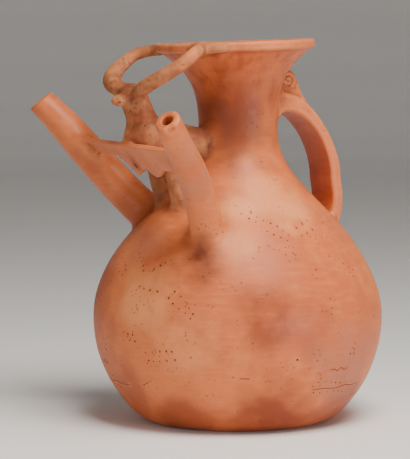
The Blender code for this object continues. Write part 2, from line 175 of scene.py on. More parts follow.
class JarHandleSizes(bpy.types.PropertyGroup):
    """Sizes of the strap handle and its scroll"""

    top_drop: length("Top drop", "Of the strap's join to the neck below the rim", 51)
    foot_height: length("Foot height", "Of the strap's join to the shoulder", 150)
    reach: length("Reach", "Of the strap's middle behind the axis", 79.2)
    width: length("Width", "Of the strap", 39)
    thickness: length("Thickness", "Of the strap", 9.2)
    top_thickness: length("Top thickness", "Of the strap where it joins the neck", 18.5)
    edge_round: length("Edge rounding", "Of the strap's edges", 3)
    scroll_rise: length("Scroll rise", "Of the roll's centre above the strap's join", 19.3)
    scroll_radius: length("Scroll radius", "Of the roll", 7.6)
    scroll_width: length("Scroll width", "Of the roll", 20)
    scroll_seat: length("Scroll seat", "How far back its clay runs on the strap", 24)
    coil_radius: length("Coil radius", "Of the clay rope that shows at the roll's ends", 1.75)
    coil_turns: share("Coil turns", "How often that rope goes round", 1.6)
    pellet_radius: length("Pellet radius", "Of the pellet on the strap", 3.5)
    pellet_side: length("Pellet side", "Of the pellet from the strap's middle", 8)


class JarSurface(bpy.types.PropertyGroup):
    """How finely the clay is modelled, and how uneven it is"""

    voxel: length("Voxel", "Size of the skin's faces", 1.3)
    turning_steps: IntProperty(name="Turning steps", description="Round the turned body", default=256)
    profile_steps: IntProperty(name="Profile steps", description="Along its outline", default=300)
    sway: length("Sway", "How far the hand-smoothed wall wanders", 0.5)
    crust: length("Crust", "Height of the crust on the animal and its horns", 0.5)
    lean: length("Lean", "How far the shoulder leans towards the handle's near side", 1.0)
    most_faces: IntProperty(name="Most faces", description="Before the pricking", default=150000)
    prick_radius: length("Prick radius", "Of a dot pricked into the wall", 0.62)
    line_radius: length("Line radius", "Of a scratched line", 0.32)
    rounds: IntProperty(name="Rounds", description="How often the skin is drawn onto the forms", default=3)


class JarFinish(bpy.types.PropertyGroup):
    """Colours and gloss of the clay"""

    body: colour("Body", "The burnished wall", (0.50, 0.115, 0.038))
    warm: colour("Warm", "Where the wall is a brighter orange", (0.64, 0.165, 0.050))
    # Pale is both a lighter burnish and painted light: its clouds on the shoulder are partly a painted
    # highlight
    pale: colour("Pale", "Where the burnish is light", (0.78, 0.30, 0.115))
    # Ruddy is both a redder firing colour and painted shade: its cloud on the neck stands in for the
    # flare's shade
    ruddy: colour("Ruddy", "Where the firing is redder", (0.24, 0.042, 0.014))
    # Grey is both a greyer firing colour and painted light: a painted sheen along the near spout and a
    # painted reflection low on the belly
    grey: colour("Grey", "Where the firing is greyer", (0.40, 0.150, 0.095))
    # Painted shade: laid on the neck under the flare, under the near spout's root, round the far foreleg's
    # foot and inside the pricks
    soot: colour("Soot", "Where the firing darkened the wall", (0.13, 0.030, 0.014))
    crust: colour("Crust", "Of the worn clay on the animal", (0.14, 0.038, 0.016))
    tan: colour("Tan", "Of the pale patches on the animal", (0.32, 0.125, 0.053))
    # The darkest clay: specks in the grit and the crust, dark pinholes, and painted shade in the creases
    # and inside the pricks
    dirt_and_shade: colour("Dirt", "In the hollows and the punctures", (0.065, 0.019, 0.009))
    gloss: share("Roughness", "Of the burnished wall", 0.42)
    bare: share("Bare roughness", "Of the clay that isn't burnished", 0.72)


class JarStage(bpy.types.PropertyGroup):
    """The floor, the lights and the camera"""

    floor: colour("Floor", "Of the floor and the sweep behind it", (0.90, 0.89, 0.87))
    camera_turn: angle("Camera turn", "From the animal's side towards the chipped spout", 62)
    camera_distance: length("Camera distance", "From the jar's axis, level", 2300)
    camera_height: length("Camera height", "Above the base", 375)
    aim_side: length("Aim side", "How far left of the axis the camera looks", 26)
    aim_height: length("Aim height", "Above the base", 152.4)
    lens: FloatProperty(name="Lens", description="Focal length in millimetres", default=226.57)


GROUPS = {
    "jar_vessel": JarVesselSizes,
    "jar_spouts": JarSpoutSizes,
    "jar_animal": JarAnimalSizes,
    "jar_handle": JarHandleSizes,
    "jar_surface": JarSurface,
    "jar_finish": JarFinish,
    "jar_stage": JarStage,
}


def settings(name):
    """A group of sizes, by the name that the scene holds it under."""
    return getattr(bpy.context.scene, name)


# Node trees


def add_node(tree, kind, inputs=None, **options):
    """A node with its options set, and each input set to a value or joined to a socket."""
    node = tree.nodes.new(kind)
    for option, value in options.items():
        setattr(node, option, value)
    for key, value in (inputs or {}).items():
        if isinstance(value, bpy.types.NodeSocket):
            tree.links.new(value, node.inputs[key])
        else:
            node.inputs[key].default_value = value
    return node


def new_socket(tree, name, kind, default=None, output=False):
    socket = tree.interface.new_socket(name, in_out="OUTPUT" if output else "INPUT", socket_type=kind)
    if default is not None:
        socket.default_value = default
    return socket


def maths(tree, operation, first, second=0.0, clamp=False):
    node = add_node(tree, "ShaderNodeMath", {0: first, 1: second}, operation=operation)
    node.use_clamp = clamp
    return node.outputs[0]


def times(tree, first, second):
    return maths(tree, "MULTIPLY", first, second)


def bake_nodes(guide, tree, values):
    """The plain mesh that a tree makes of an object. The object is removed."""
    modifier = guide.modifiers.new(tree.name, "NODES")
    modifier.node_group = tree
    for item in tree.interface.items_tree:
        if item.in_out == "INPUT" and item.name in values:
            modifier[item.identifier] = values[item.name]
    return baked(guide)


def baked(guide):
    """The plain mesh that an object's modifiers or curve make, in world space. The object is removed."""
    if guide.name not in bpy.context.scene.objects:
        bpy.context.scene.collection.objects.link(guide)
    bpy.context.view_layer.update()
    graph = bpy.context.evaluated_depsgraph_get()
    mesh = bpy.data.meshes.new_from_object(guide.evaluated_get(graph))
    mesh.transform(guide.matrix_world)
    bpy.data.objects.remove(guide, do_unlink=True)
    return mesh


def turning_tree():
    """Turns an outline, given as a line of edges in the XZ plane, round the Z axis."""
    tree = bpy.data.node_groups.new("turn_outline", "GeometryNodeTree")
    new_socket(tree, "Outline", "NodeSocketGeometry")
    new_socket(tree, "Turning Steps", "NodeSocketInt", 256)
    new_socket(tree, "Outline Steps", "NodeSocketInt", 300)
    new_socket(tree, "Clay", "NodeSocketMaterial")
    new_socket(tree, "Turned", "NodeSocketGeometry", output=True)
    given = add_node(tree, "NodeGroupInput").outputs
    line = add_node(tree, "GeometryNodeMeshToCurve", {"Mesh": given["Outline"]})
    across = maths(tree, "ADD", given["Turning Steps"], 1)
    grid = add_node(
        tree,
        "GeometryNodeMeshGrid",
        {"Size X": 1.0, "Size Y": 1.0, "Vertices X": across, "Vertices Y": given["Outline Steps"]},
    )
    place = add_node(tree, "GeometryNodeInputPosition").outputs[0]
    parts = add_node(tree, "ShaderNodeSeparateXYZ", {0: place}).outputs
    turn = times(tree, maths(tree, "ADD", parts["X"], 0.5), math.tau)
    along = maths(tree, "ADD", parts["Y"], 0.5)
    sample = add_node(
        tree,
        "GeometryNodeSampleCurve",
        {"Curves": line.outputs[0], "Factor": along},
        mode="FACTOR",
        use_all_curves=True,
    )
    turned = add_node(
        tree,
        "ShaderNodeVectorRotate",
        {"Vector": sample.outputs["Position"], "Angle": turn},
        rotation_type="Z_AXIS",
    )
    wall = add_node(
        tree,
        "GeometryNodeSetPosition",
        {"Geometry": grid.outputs["Mesh"], "Position": turned.outputs[0]},
    )
    closed = add_node(tree, "GeometryNodeMergeByDistance", {"Geometry": wall.outputs[0], "Distance": 2e-6})
    finish_tree(tree, closed.outputs[0], given["Clay"])
    return tree


def finish_tree(tree, geometry, material):
    """Ends a tree in plain faces with their material."""
    smooth = add_node(tree, "GeometryNodeSetShadeSmooth", {"Geometry": geometry})
    real = add_node(tree, "GeometryNodeRealizeInstances", {"Geometry": smooth.outputs[0]})
    coated = add_node(tree, "GeometryNodeSetMaterial", {"Geometry": real.outputs[0], "Material": material})
    add_node(tree, "NodeGroupOutput", {0: coated.outputs[0]})


# The jar's forms


def bezier(start, start_handle, end_handle, end, steps):
    """Points of a cubic curve from start up to, but not including, end."""
    points = []
    for step in range(steps):
        t = step / steps
        s = 1 - t
        points.append(
            s**3 * start + 3 * s * s * t * start_handle + 3 * s * t * t * end_handle + t**3 * end
        )
    return points


def outer_outline(sizes):
    """(radius, height) points up the outside, from the base's edge to the top of the lip."""
    heel_turn = math.asin((sizes.belly_height - sizes.heel_height) / sizes.belly_drop)
    heel = Vector((sizes.belly_radius * math.cos(heel_turn), sizes.heel_height))
    heel_way = Vector(
        (sizes.belly_radius * math.sin(heel_turn), sizes.belly_drop * math.cos(heel_turn))
    ).normalized()
    base = Vector((sizes.base_radius, 0))
    belly = Vector((sizes.belly_radius, sizes.belly_height))
    shoulder = Vector((sizes.shoulder_radius, sizes.shoulder_height))
    inward = Vector((-math.cos(sizes.shoulder_slope), math.sin(sizes.shoulder_slope)))
    neck = Vector((sizes.neck_radius, sizes.neck_height))
    band_z = sizes.height - sizes.lip_band
    flare = Vector((sizes.flare_radius, band_z))
    outward = Vector((1, 0.8)).normalized()
    up = Vector((0, 1))

    heel_z = sizes.heel_height
    points = bezier(base, base + Vector((heel_z, 0)), heel - heel_way * heel_z, heel, 12)
    lower_steps = 40
    for step in range(lower_steps):
        turn = heel_turn * (1 - step / lower_steps)
        points.append(
            Vector(
                (
                    sizes.belly_radius * math.cos(turn),
                    sizes.belly_height - sizes.belly_drop * math.sin(turn),
                )
            )
        )
    rise = shoulder.y - belly.y
    points += bezier(belly, belly + up * 0.44 * rise, shoulder - inward * 0.27 * rise, shoulder, 40)
    rise = neck.y - shoulder.y
    points += bezier(shoulder, shoulder + inward * 0.26 * rise, neck - up * 0.48 * rise, neck, 30)
    rise = band_z - neck.y
    points += bezier(neck, neck + up * 0.63 * rise, flare - outward * 0.36 * rise, flare, 36)
    points.append(flare)
    edge = sizes.rim_radius
    small = sizes.lip_round / 2
    under = Vector((edge, band_z + 2 * small))
    points += bezier(
        Vector((edge - small, band_z + small)), Vector((edge, band_z + small)), under, under, 4
    )
    corner = Vector((edge - sizes.lip_round, sizes.height - sizes.lip_round))
    round_steps = 8
    for step in range(round_steps + 1):
        turn = math.pi / 2 * step / round_steps
        points.append(corner + sizes.lip_round * Vector((math.cos(turn), math.sin(turn))))
    return points


def wall_radius(height):
    """The outside's radius at a height above the base."""
    outline = outer_outline(settings("jar_vessel"))
    for below, above in zip(outline, outline[1:]):
        if below.y <= height <= above.y:
            return below.x + (above.x - below.x) * (height - below.y) / (above.y - below.y)
    raise ValueError(f"no wall at {height}")


def shoulder_height(radius):
    """The height of the shoulder, above the belly, at a radius."""
    sizes = settings("jar_vessel")
    points = [p for p in outer_outline(sizes) if sizes.belly_height <= p.y <= sizes.neck_height]
    for below, above in zip(points, points[1:]):
        if above.x <= radius <= below.x:
            return below.y + (above.y - below.y) * (below.x - radius) / (below.x - above.x)
    raise ValueError(f"no shoulder at {radius}")


def inner_outline(sizes):
    """(radius, height) points up the inside, a wall's thickness in from the outside."""
    outside = [p for p in outer_outline(sizes) if p.y <= sizes.height - sizes.lip_band]
    points = []
    for before, here, after in zip(outside, outside[1:], outside[2:]):
        along = (after - before).normalized()
        point = here + Vector((-along.y, along.x)) * sizes.wall
        if point.y > sizes.floor + sizes.wall:
            points.append(point)
    foot = points[0]
    floor = Vector((foot.x - 2.2 * sizes.wall, sizes.floor))
    corner = Vector((foot.x - 0.5 * sizes.wall, sizes.floor))
    return bezier(floor, corner, corner, foot, 8) + points


def turned(outline):
    """A closed form turned from an (r, z) outline that runs from the axis to the axis."""
    surface = settings("jar_surface")
    mesh = bpy.data.meshes.new("outline")
    ends = range(len(outline) - 1)
    mesh.from_pydata([(r, 0, z) for r, z in outline], [(i, i + 1) for i in ends], [])
    guide = bpy.data.objects.new("outline", mesh)
    values = {"Turning Steps": surface.turning_steps, "Outline Steps": surface.profile_steps}
    return bake_nodes(guide, turning_tree(), values)


def smooth_path(stations, steps):
    """Points of a smooth line through stations, as rows of x, y, z and radius."""
    given = np.array([(*place, radius) for place, radius in stations])
    run = np.vstack([2 * given[0] - given[1], given, 2 * given[-1] - given[-2]])
    t = (np.arange(steps) / steps)[:, None]
    rows = []
    for a, b, c, d in zip(run, run[1:], run[2:], run[3:]):
        bent = (2 * a - 5 * b + 4 * c - d) * t * t + (3 * b - a - 3 * c + d) * t**3
        rows.append(b + (c - a) * t / 2 + bent / 2)
    return np.vstack([*rows, given[-1:]])


def ahead(front, side, height):
    """A place given by its distance in front of the axis, towards -Y, its side and its height."""
    return Vector((side, -front, height))


def sign_of(side):
    return 1 if side == "right" else -1


def sided(sizes, side, name):
    """One side's own value of a size."""
    return getattr(sizes, f"{side}_{name}")


def vessel_outside():
    sizes = settings("jar_vessel")
    return turned([(0, 0)] + [tuple(p) for p in outer_outline(sizes)] + [(0, sizes.height)])


def vessel_cavity():
    sizes = settings("jar_vessel")
    lip = sizes.rim_radius - sizes.lip_round - sizes.wall / 3
    over = sizes.height + sizes.wall
    top = [(lip, sizes.height + sizes.lip_round / 4), (lip, over), (0, over)]
    return turned([(0, sizes.floor)] + [tuple(p) for p in inner_outline(sizes)] + top)


def spout_axis(side, along):
    """(distance from the jar's axis, height) of a spout's axis, along it from 0 to 1."""
    sizes = settings("jar_spouts")
    root_z = sided(sizes, side, "root_height")
    root = wall_radius(root_z) - sizes.root_depth
    bowed = along + sided(sizes, side, "bow") * along * (1 - along) ** 2
    return Vector((root + sided(sizes, side, "reach") * along, root_z + sided(sizes, side, "rise") * bowed))


def spout_place(side, along):
    """A place on a spout's axis in the jar's frame."""
    out, height = spout_axis(side, along)
    turn = sign_of(side) * sided(settings("jar_spouts"), side, "turn") - math.pi / 2
    return Vector((out * math.cos(turn), out * math.sin(turn), height))


# How each spout's end is cut: how far its face turns from the axis, and which way
END_FACES = {"left": Vector((0.20, -0.10, 0)), "right": Vector((-0.08, -0.14, 0))}
# How far the last part of each spout bends from its axis
END_BENDS = {"left": Vector((0, 0, 0)), "right": Vector((-0.7, -1.4, 0.7)) * MM}


def bent_place(side, along):
    """A place on a spout's axis, with the bend of its last part."""
    late = max(0, along - 0.72) / 0.28
    return spout_place(side, along) + END_BENDS[side] * late * late


def spout(side):
    sizes = settings("jar_spouts")
    tip = sided(sizes, side, "tip_radius")
    root = sided(sizes, side, "root_radius")
    steps = 12
    stations = []
    for step in range(steps + 1):
        along = step / steps
        stations.append((bent_place(side, along), tip + (root - tip) * (1 - along * along)))
    end = Tube("spout_" + side, stations, 8, end_round=sizes.tip_round)
    end.face += END_FACES[side]
    end.face /= np.linalg.norm(end.face)
    return end


def spout_bore(side):
    """The pouring hole, from inside the cavity to well past the spout's end."""
    radius = settings("jar_spouts").bore_radius
    first, last, steps = -0.25, 1.1, 12
    shares = [first + (last - first) * step / steps for step in range(steps + 1)]
    return Tube("bore_" + side, [(bent_place(side, along), radius) for along in shares], 1.6)


def spout_chip():
    """The flake missing from the lower edge of the right spout's end."""
    sizes = settings("jar_spouts")
    tip = bent_place("right", 1)
    along = (tip - bent_place("right", 0.9)).normalized()
    below = Vector((0.8, 0, -1))
    below = (below - along * below.dot(along)).normalized()
    bite = sizes.right_tip_radius + sizes.chip_radius - sizes.chip_depth
    return Ball("chip", tip + below * bite, sizes.chip_radius, 1)


def along_at(side, height):
    """How far along a spout its axis reaches a height."""
    low, high = 0.0, 1.0
    for _ in range(30):
        middle = (low + high) / 2
        if spout_axis(side, middle).y < height:
            low = middle
        else:
            high = middle
    return low


def web():
    """The plate between the spouts. Its top edge is straight and its lower edge is broken away."""
    sizes = settings("jar_spouts")
    left, right = (spout_place(side, along_at(side, sizes.web_top)) for side in SIDES)
    lower_z = sizes.web_top - sizes.web_depth
    feet = [spout_place(side, along_at(side, lower_z)) for side in SIDES]
    middle = (left + right) / 2
    lateral = (right - left).normalized()
    upward = middle - (feet[0] + feet[1]) / 2
    upward = (upward - lateral * upward.dot(lateral)).normalized()
    matrix = Matrix((lateral, upward, lateral.cross(upward))).transposed().to_4x4()
    matrix.translation = middle

    span = (right - left).length / 2
    foot_spans = [abs((foot - middle).dot(lateral)) for foot in feet]
    foot_depths = [(middle - foot).dot(upward) for foot in feet]

    def edge(index, depth):
        """How far from the middle a spout's axis is at a depth below the top edge."""
        return span - (span - foot_spans[index]) * depth / foot_depths[index]

    # The break, as shares of the half span and of the depth
    broken = [
        (-0.30, 0.33),
        (-0.23, 0.50),
        (-0.19, 0.67),
        (-0.155, 0.86),
        (-0.02, 0.73),
        (0.03, 0.66),
        (0.08, 0.68),
        (0.12, 0.63),
        (0.15, 0.74),
        (0.21, 0.81),
        (0.29, 0.77),
        (0.37, 0.67),
        (0.45, 0.59),
    ]
    depth = sizes.web_depth
    left_depth = 0.32 * depth
    right_depth = 0.58 * depth
    outline = [(span, 0), (-span, 0), (-edge(0, left_depth), -left_depth)]
    outline += [(across * span, -down * depth) for across, down in broken]
    outline.append((edge(1, right_depth), -right_depth))
    return Plate("web", outline, sizes.web_thickness, matrix, 1.2 * MM, 4)


def trunk():
    """The body, from inside the vessel's neck to the chest."""
    sizes = settings("jar_animal")
    radius = sizes.trunk_radius
    height = sizes.trunk_height
    root = wall_radius(height) - settings("jar_vessel").wall / 2
    stations = [
        (ahead(root, 0, height - 0.16 * radius), 0.93 * radius),
        (ahead((root + sizes.chest_front) / 2, 0, height + 0.21 * radius), radius),
        (ahead(sizes.chest_front, 0, height + 0.52 * radius), 1.07 * radius),
    ]
    return Tube("trunk", stations, 5, worn=True)


def neck_and_head():
    """The chest, the neck and the back of the head in one tapering form."""
    sizes = settings("jar_animal")
    trunk_radius = sizes.trunk_radius
    head = sizes.head_radius
    chest = sizes.chest_front
    height = sizes.trunk_height
    lift = sizes.head_height - height
    lean = sizes.head_front - chest
    stations = [
        (ahead(chest, 0, height - 0.25 * lift), 0.7 * trunk_radius),
        (ahead(chest, 0, height + 0.08 * lift), 1.06 * trunk_radius),
        (ahead(chest + 0.1 * lean, 0, height + 0.32 * lift), 0.96 * trunk_radius),
        (ahead(chest + 0.55 * lean, 0, height + 0.64 * lift), 1.15 * head),
        (ahead(sizes.head_front, 0, sizes.head_height - 0.25 * head), 1.08 * head),
        (ahead(sizes.head_front + 0.1 * lean, 0, sizes.head_height + 0.1 * head), 0.6 * head),
    ]
    return Tube("neck_and_head", stations, 6, worn=True)


def muzzle():
    sizes = settings("jar_animal")
    front = sizes.head_front
    tip_z = sizes.head_height - 0.28 * sizes.muzzle_length
    small = sizes.muzzle_radius
    stations = [
        (ahead(front, 0, sizes.head_height), 0.8 * sizes.head_radius),
        (ahead(front + 0.75 * sizes.muzzle_length, 0, tip_z + 0.3 * small), 1.4 * small),
        (ahead(front + sizes.muzzle_length + small, 0, tip_z), 0.9 * small),
    ]
    return Tube("muzzle", stations, 3, worn=True)


def muzzle_knob():
    """The blunt end of the muzzle."""
    sizes = settings("jar_animal")
    place = ahead(sizes.head_front + 0.93 * sizes.muzzle_length, 0.5 * MM, sizes.head_height - 3.6 * MM)
    return Ball("knob", place, 1.3 * sizes.muzzle_radius, 3, worn=True)


def muzzle_hole():
    """The hole in the near side of the muzzle's end."""
    sizes = settings("jar_animal")
    front = sizes.head_front + 1.08 * sizes.muzzle_length
    return Ball("muzzle_hole", ahead(front, 4.6 * MM, sizes.head_height - 5.4 * MM), 1.4 * MM, 0.8)


def chest_foot():
    """Clay pressed down from the chest onto the web's edge."""
    sizes = settings("jar_animal")
    chest = sizes.chest_front
    height = sizes.trunk_height
    stations = [
        (ahead(chest + 2 * MM, -2 * MM, height + 12 * MM), 11 * MM),
        (ahead(chest + 9 * MM, -3 * MM, height + 4 * MM), 7.5 * MM),
        (ahead(chest + 13 * MM, -4 * MM, height + 1 * MM), 3.5 * MM),
    ]
    return Tube("chest_foot", stations, 5, worn=True)


def web_smear():
    """Clay smeared from the web's end over the left spout."""
    path = ((-84, -104, 219), (-78, -101, 219), (-73, -97, 215), (-69, -92, 209), (-67, -88, 204))
    radii = (3.0, 5.5, 6.5, 5.5, 3.0)
    stations = [(Vector(place) * MM, radius * MM) for place, radius in zip(path, radii)]
    return Tube("web_smear", stations, 6, steps=8)


def leg(side):
    """A foreleg, from the chest down into the shoulder of the vessel."""
    sizes = settings("jar_animal")
    foot_z = shoulder_height(sizes.foot_front) - settings("jar_vessel").wall / 2
    spread = sign_of(side) * sizes.leg_spread
    trunk_z = sizes.trunk_height
    knee_front = (sizes.chest_front + sizes.foot_front) / 2 - 0.3 * sizes.trunk_radius
    top_front = sizes.chest_front - sizes.trunk_radius
    stations = [
        (ahead(top_front, 0.7 * spread, trunk_z), 1.2 * sizes.leg_radius),
        (ahead(knee_front, spread, (trunk_z + foot_z) / 2), 1.15 * sizes.leg_radius),
        (ahead(sizes.foot_front, spread, foot_z), 1.6 * sizes.leg_radius),
    ]
    return Tube("leg_" + side, stations, 7, worn=True)


def horn(side):
    """A horn that rises from the head, bows out to the side and lands on the lip."""
    sizes = settings("jar_animal")
    vessel = settings("jar_vessel")
    sign = sign_of(side)
    lip_front = vessel.rim_radius * math.cos(sizes.horn_landing)
    lip_side = vessel.rim_radius * math.sin(sizes.horn_landing)
    lip_z = vessel.height - 0.6 * vessel.lip_band
    climb = lip_z - sizes.head_height
    run = sizes.head_front - lip_front
    root = sided(sizes, side, "horn_radius")
    # Shares of the run back to the lip, of the spread, of the climb and of the taper
    course = [
        (0.02, 0.05, 0.08, 0.0),
        (-0.08, 0.34, 0.14, -0.2),
        (-0.06, 0.60, 0.29, -0.5),
        (0.15, 0.82, 0.50, -0.2),
        (0.44, 0.93, 0.72, 0.4),
        (0.72, 0.90, 0.92, 0.7),
    ]
    stations = []
    for back, across, rise, taper in course:
        front = sizes.head_front - back * run
        place = ahead(front, sign * across * sizes.horn_spread, sizes.head_height + rise * climb)
        stations.append((place, root + (sizes.horn_tip_radius - root) * taper))
    stations.append((ahead(lip_front, sign * lip_side, lip_z), sizes.horn_tip_radius))
    return Tube("horn_" + side, stations, 4, worn=True)


def horn_smear(side):
    """The clay smeared along the lip from the landing of a horn."""
    sizes = settings("jar_animal")
    vessel = settings("jar_vessel")
    turn = sizes.horn_landing
    stations = []
    # Turns from the landing in radians, drops below the rim and radii in mm
    course = ((-0.12, 6, 2.6), (-0.03, 5, 3.6), (0.08, 5, 3.2), (0.2, 5, 2.4), (0.3, 5, 1.6))
    sunk = 0.55
    for passed, drop, radius in course:
        height = vessel.height - drop * MM
        out = min(wall_radius(height), vessel.rim_radius) - radius * MM * sunk
        here = turn + passed
        place = ahead(out * math.cos(here), sign_of(side) * out * math.sin(here), height)
        stations.append((place, radius * MM))
    return Tube("smear_" + side, stations, 3, worn=True)


# Turns a plate's plane so that its X runs back from the jar's axis and its Y runs up
SIDE_VIEW = Matrix(((0, 0, 1, 0), (1, 0, 0, 0), (0, 1, 0, 0), (0, 0, 0, 1)))


def handle_top():
    return settings("jar_vessel").height - settings("jar_handle").top_drop


def handle_line():
    """(distance behind the axis, height) points down the middle of the strap."""
    sizes = settings("jar_handle")
    wall = settings("jar_vessel").wall
    top_z = handle_top()
    top = Vector((wall_radius(top_z) - 1.5 * wall, top_z))
    foot = Vector((wall_radius(sizes.foot_height) - 2.1 * wall, sizes.foot_height))
    drop = top_z - sizes.foot_height
    bend = Vector((sizes.reach, top_z - 0.59 * drop))
    outward = Vector((1, 0.5))
    down = Vector((0, -1))
    inward = Vector((-0.5, -1))
    points = bezier(top, top + outward * 0.23 * drop, bend - down * 0.34 * drop, bend, 27)
    points += bezier(bend, bend + down * 0.07 * drop, foot - inward * 0.23 * drop, foot, 12)
    return points + [foot]


def handle_sides():
    """The strap's outer and inner edges, seen from the side, as (distance behind the axis, height)."""
    sizes = settings("jar_handle")
    line = handle_line()
    outer = []
    inner = []
    for index, here in enumerate(line):
        before = line[max(index - 1, 0)]
        after = line[min(index + 1, len(line) - 1)]
        along = (after - before).normalized()
        # The solid's line has 9 and 4 steps where this one has 27 and 12
        passed = index / (len(line) - 1)
        swell = (sizes.top_thickness - sizes.thickness) * max(0, 1 - 2.2 * passed) ** 2
        across = Vector((-along.y, along.x)) * (sizes.thickness + swell) / 2
        outer.append(here + across)
        inner.append(here - across)
    return outer, inner


def handle():
    """The strap at the back, from the vessel's neck out and down to its shoulder."""
    sizes = settings("jar_handle")
    outer, inner = handle_sides()
    outline = outer + list(reversed(inner))
    return Plate("handle", outline, sizes.width, SIDE_VIEW, sizes.edge_round, 5)


def strap_top(out):
    """The height of the strap's outer edge at a distance behind the axis."""
    outer, _ = handle_sides()
    for before, after in zip(outer, outer[1:]):
        if before.x <= out <= after.x:
            return before.y + (after.y - before.y) * (out - before.x) / (after.x - before.x)
    raise ValueError(f"no strap at {out}")


def scroll_seat():
    """Where the scroll's clay ends on the strap, as (distance behind the axis, height)."""
    sizes = settings("jar_handle")
    out = wall_radius(handle_top()) + sizes.scroll_seat
    return Vector((out, strap_top(out) + sizes.thickness / 8))


def scroll_centre():
    sizes = settings("jar_handle")
    height = handle_top() + sizes.scroll_rise
    return Vector((wall_radius(height) + 0.37 * sizes.scroll_radius, height))


def scroll():
    """The rolled end of the strap, standing on the handle against the flare, seen from the side."""
    sizes = settings("jar_handle")
    centre = scroll_centre()
    seat = scroll_seat()
    outline = [(wall_radius(handle_top()) - settings("jar_vessel").wall / 2, handle_top())]
    outline.append((seat.x, seat.y - sizes.thickness / 2))
    outline.append(tuple(seat))
    steps = 24
    for step in range(steps + 1):
        turn = math.radians(25 + 155 * step / steps)
        outline.append(tuple(centre + sizes.scroll_radius * Vector((math.cos(turn), math.sin(turn)))))
    return Plate("scroll", outline, sizes.scroll_width, SIDE_VIEW, 1.2 * MM, 1.5)


def coil(side):
    """The rope of clay that winds in to the middle of the roll, at one of its ends."""
    sizes = settings("jar_handle")
    centre = scroll_centre()
    steps = 36
    first = sizes.scroll_radius - 0.9 * sizes.coil_radius
    stations = []
    for step in range(steps + 1):
        passed = step / steps
        turn = math.radians(-60) + math.tau * sizes.coil_turns * passed
        out = first * (1 - 0.93 * passed)
        away = sign_of(side) * (sizes.scroll_width / 2 - 0.1 * sizes.coil_radius)
        place = (away, centre.x + out * math.cos(turn), centre.y + out * math.sin(turn))
        stations.append((place, sizes.coil_radius * (1 - 0.15 * passed)))
    return Tube("coil_" + side, stations, 0.3, steps=1)


def pellet():
    """The clay pellet at the foot of the scroll, near its +X edge."""
    sizes = settings("jar_handle")
    seat = scroll_seat()
    sunk = 0.9 * sizes.pellet_radius
    return Ball("pellet", (sizes.pellet_side, seat.x - sunk, seat.y + sunk), sizes.pellet_radius, 1)


# Drawing one skin of clay over the forms


class Form:
    """A closed form that tells how far a point is from it, and the way out of it."""

    def __init__(self, name, corners, fillet, worn=False):
        self.name = name
        self.fillet = fillet * MM
        self.worn = worn
        self.low = corners.min(0) - REACH
        self.high = corners.max(0) + REACH

    def measure(self, points):
        """Each point's distance from the form, less than 0 inside it, and the way out."""
        distances = np.full(len(points), FAR)
        ways = np.zeros((len(points), 3))
        near = np.nonzero(((points > self.low) & (points < self.high)).all(1))[0]
        if len(near):
            distances[near], ways[near] = self.near(points[near])
        return distances, ways


class Skin(Form):
    """A form given by its mesh."""

    def __init__(self, name, mesh, fillet):
        made = bmesh.new()
        made.from_mesh(mesh)
        bmesh.ops.remove_doubles(made, verts=made.verts, dist=0.00001)
        bmesh.ops.recalc_face_normals(made, faces=made.faces)
        super().__init__(name, np.array([v.co for v in made.verts]), fillet)
        self.tree = BVHTree.FromBMesh(made)
        made.free()
        bpy.data.meshes.remove(mesh)

    def near(self, points):
        distances = np.full(len(points), FAR)
        ways = np.zeros((len(points), 3))
        nearest = self.tree.find_nearest
        for index, place in enumerate(points.tolist()):
            hit, normal, _, distance = nearest(place, REACH)
            if hit is None:
                continue
            away = Vector(place) - hit
            if away.dot(normal) < 0:
                distance = -distance
            distances[index] = distance
            ways[index] = away / distance if abs(distance) > 1e-7 else normal
        return distances, ways


class Tube(Form):
    """A round bar through stations of (place, radius). Its far end is flat if end_round is given."""

    def __init__(self, name, stations, fillet, worn=False, steps=6, end_round=0.0):
        self.path = smooth_path(stations, steps)
        self.end_round = end_round
        self.last = self.path[-1, :3]
        self.face = self.last - self.path[-4, :3]
        self.face = self.face / np.linalg.norm(self.face)
        thick = self.path[:, 3:]
        corners = np.vstack([self.path[:, :3] - thick, self.path[:, :3] + thick])
        super().__init__(name, corners, fillet, worn)

    def near(self, points):
        best = np.full(len(points), FAR)
        ways = np.zeros((len(points), 3))
        for start, end in zip(self.path, self.path[1:]):
            along = end[:3] - start[:3]
            passed = np.clip((points - start[:3]) @ along / (along @ along), 0, 1)
            away = points - start[:3] - passed[:, None] * along
            out = np.sqrt((away * away).sum(1)) + 1e-9
            distance = out - start[3] - passed * (end[3] - start[3])
            closer = distance < best
            best = np.where(closer, distance, best)
            ways = np.where(closer[:, None], away / out[:, None], ways)
        if self.end_round:
            beyond = (-((points - self.last) @ self.face), np.tile(-self.face, (len(points), 1)))
            return soft_cut((best, ways), beyond, self.end_round)
        return best, ways


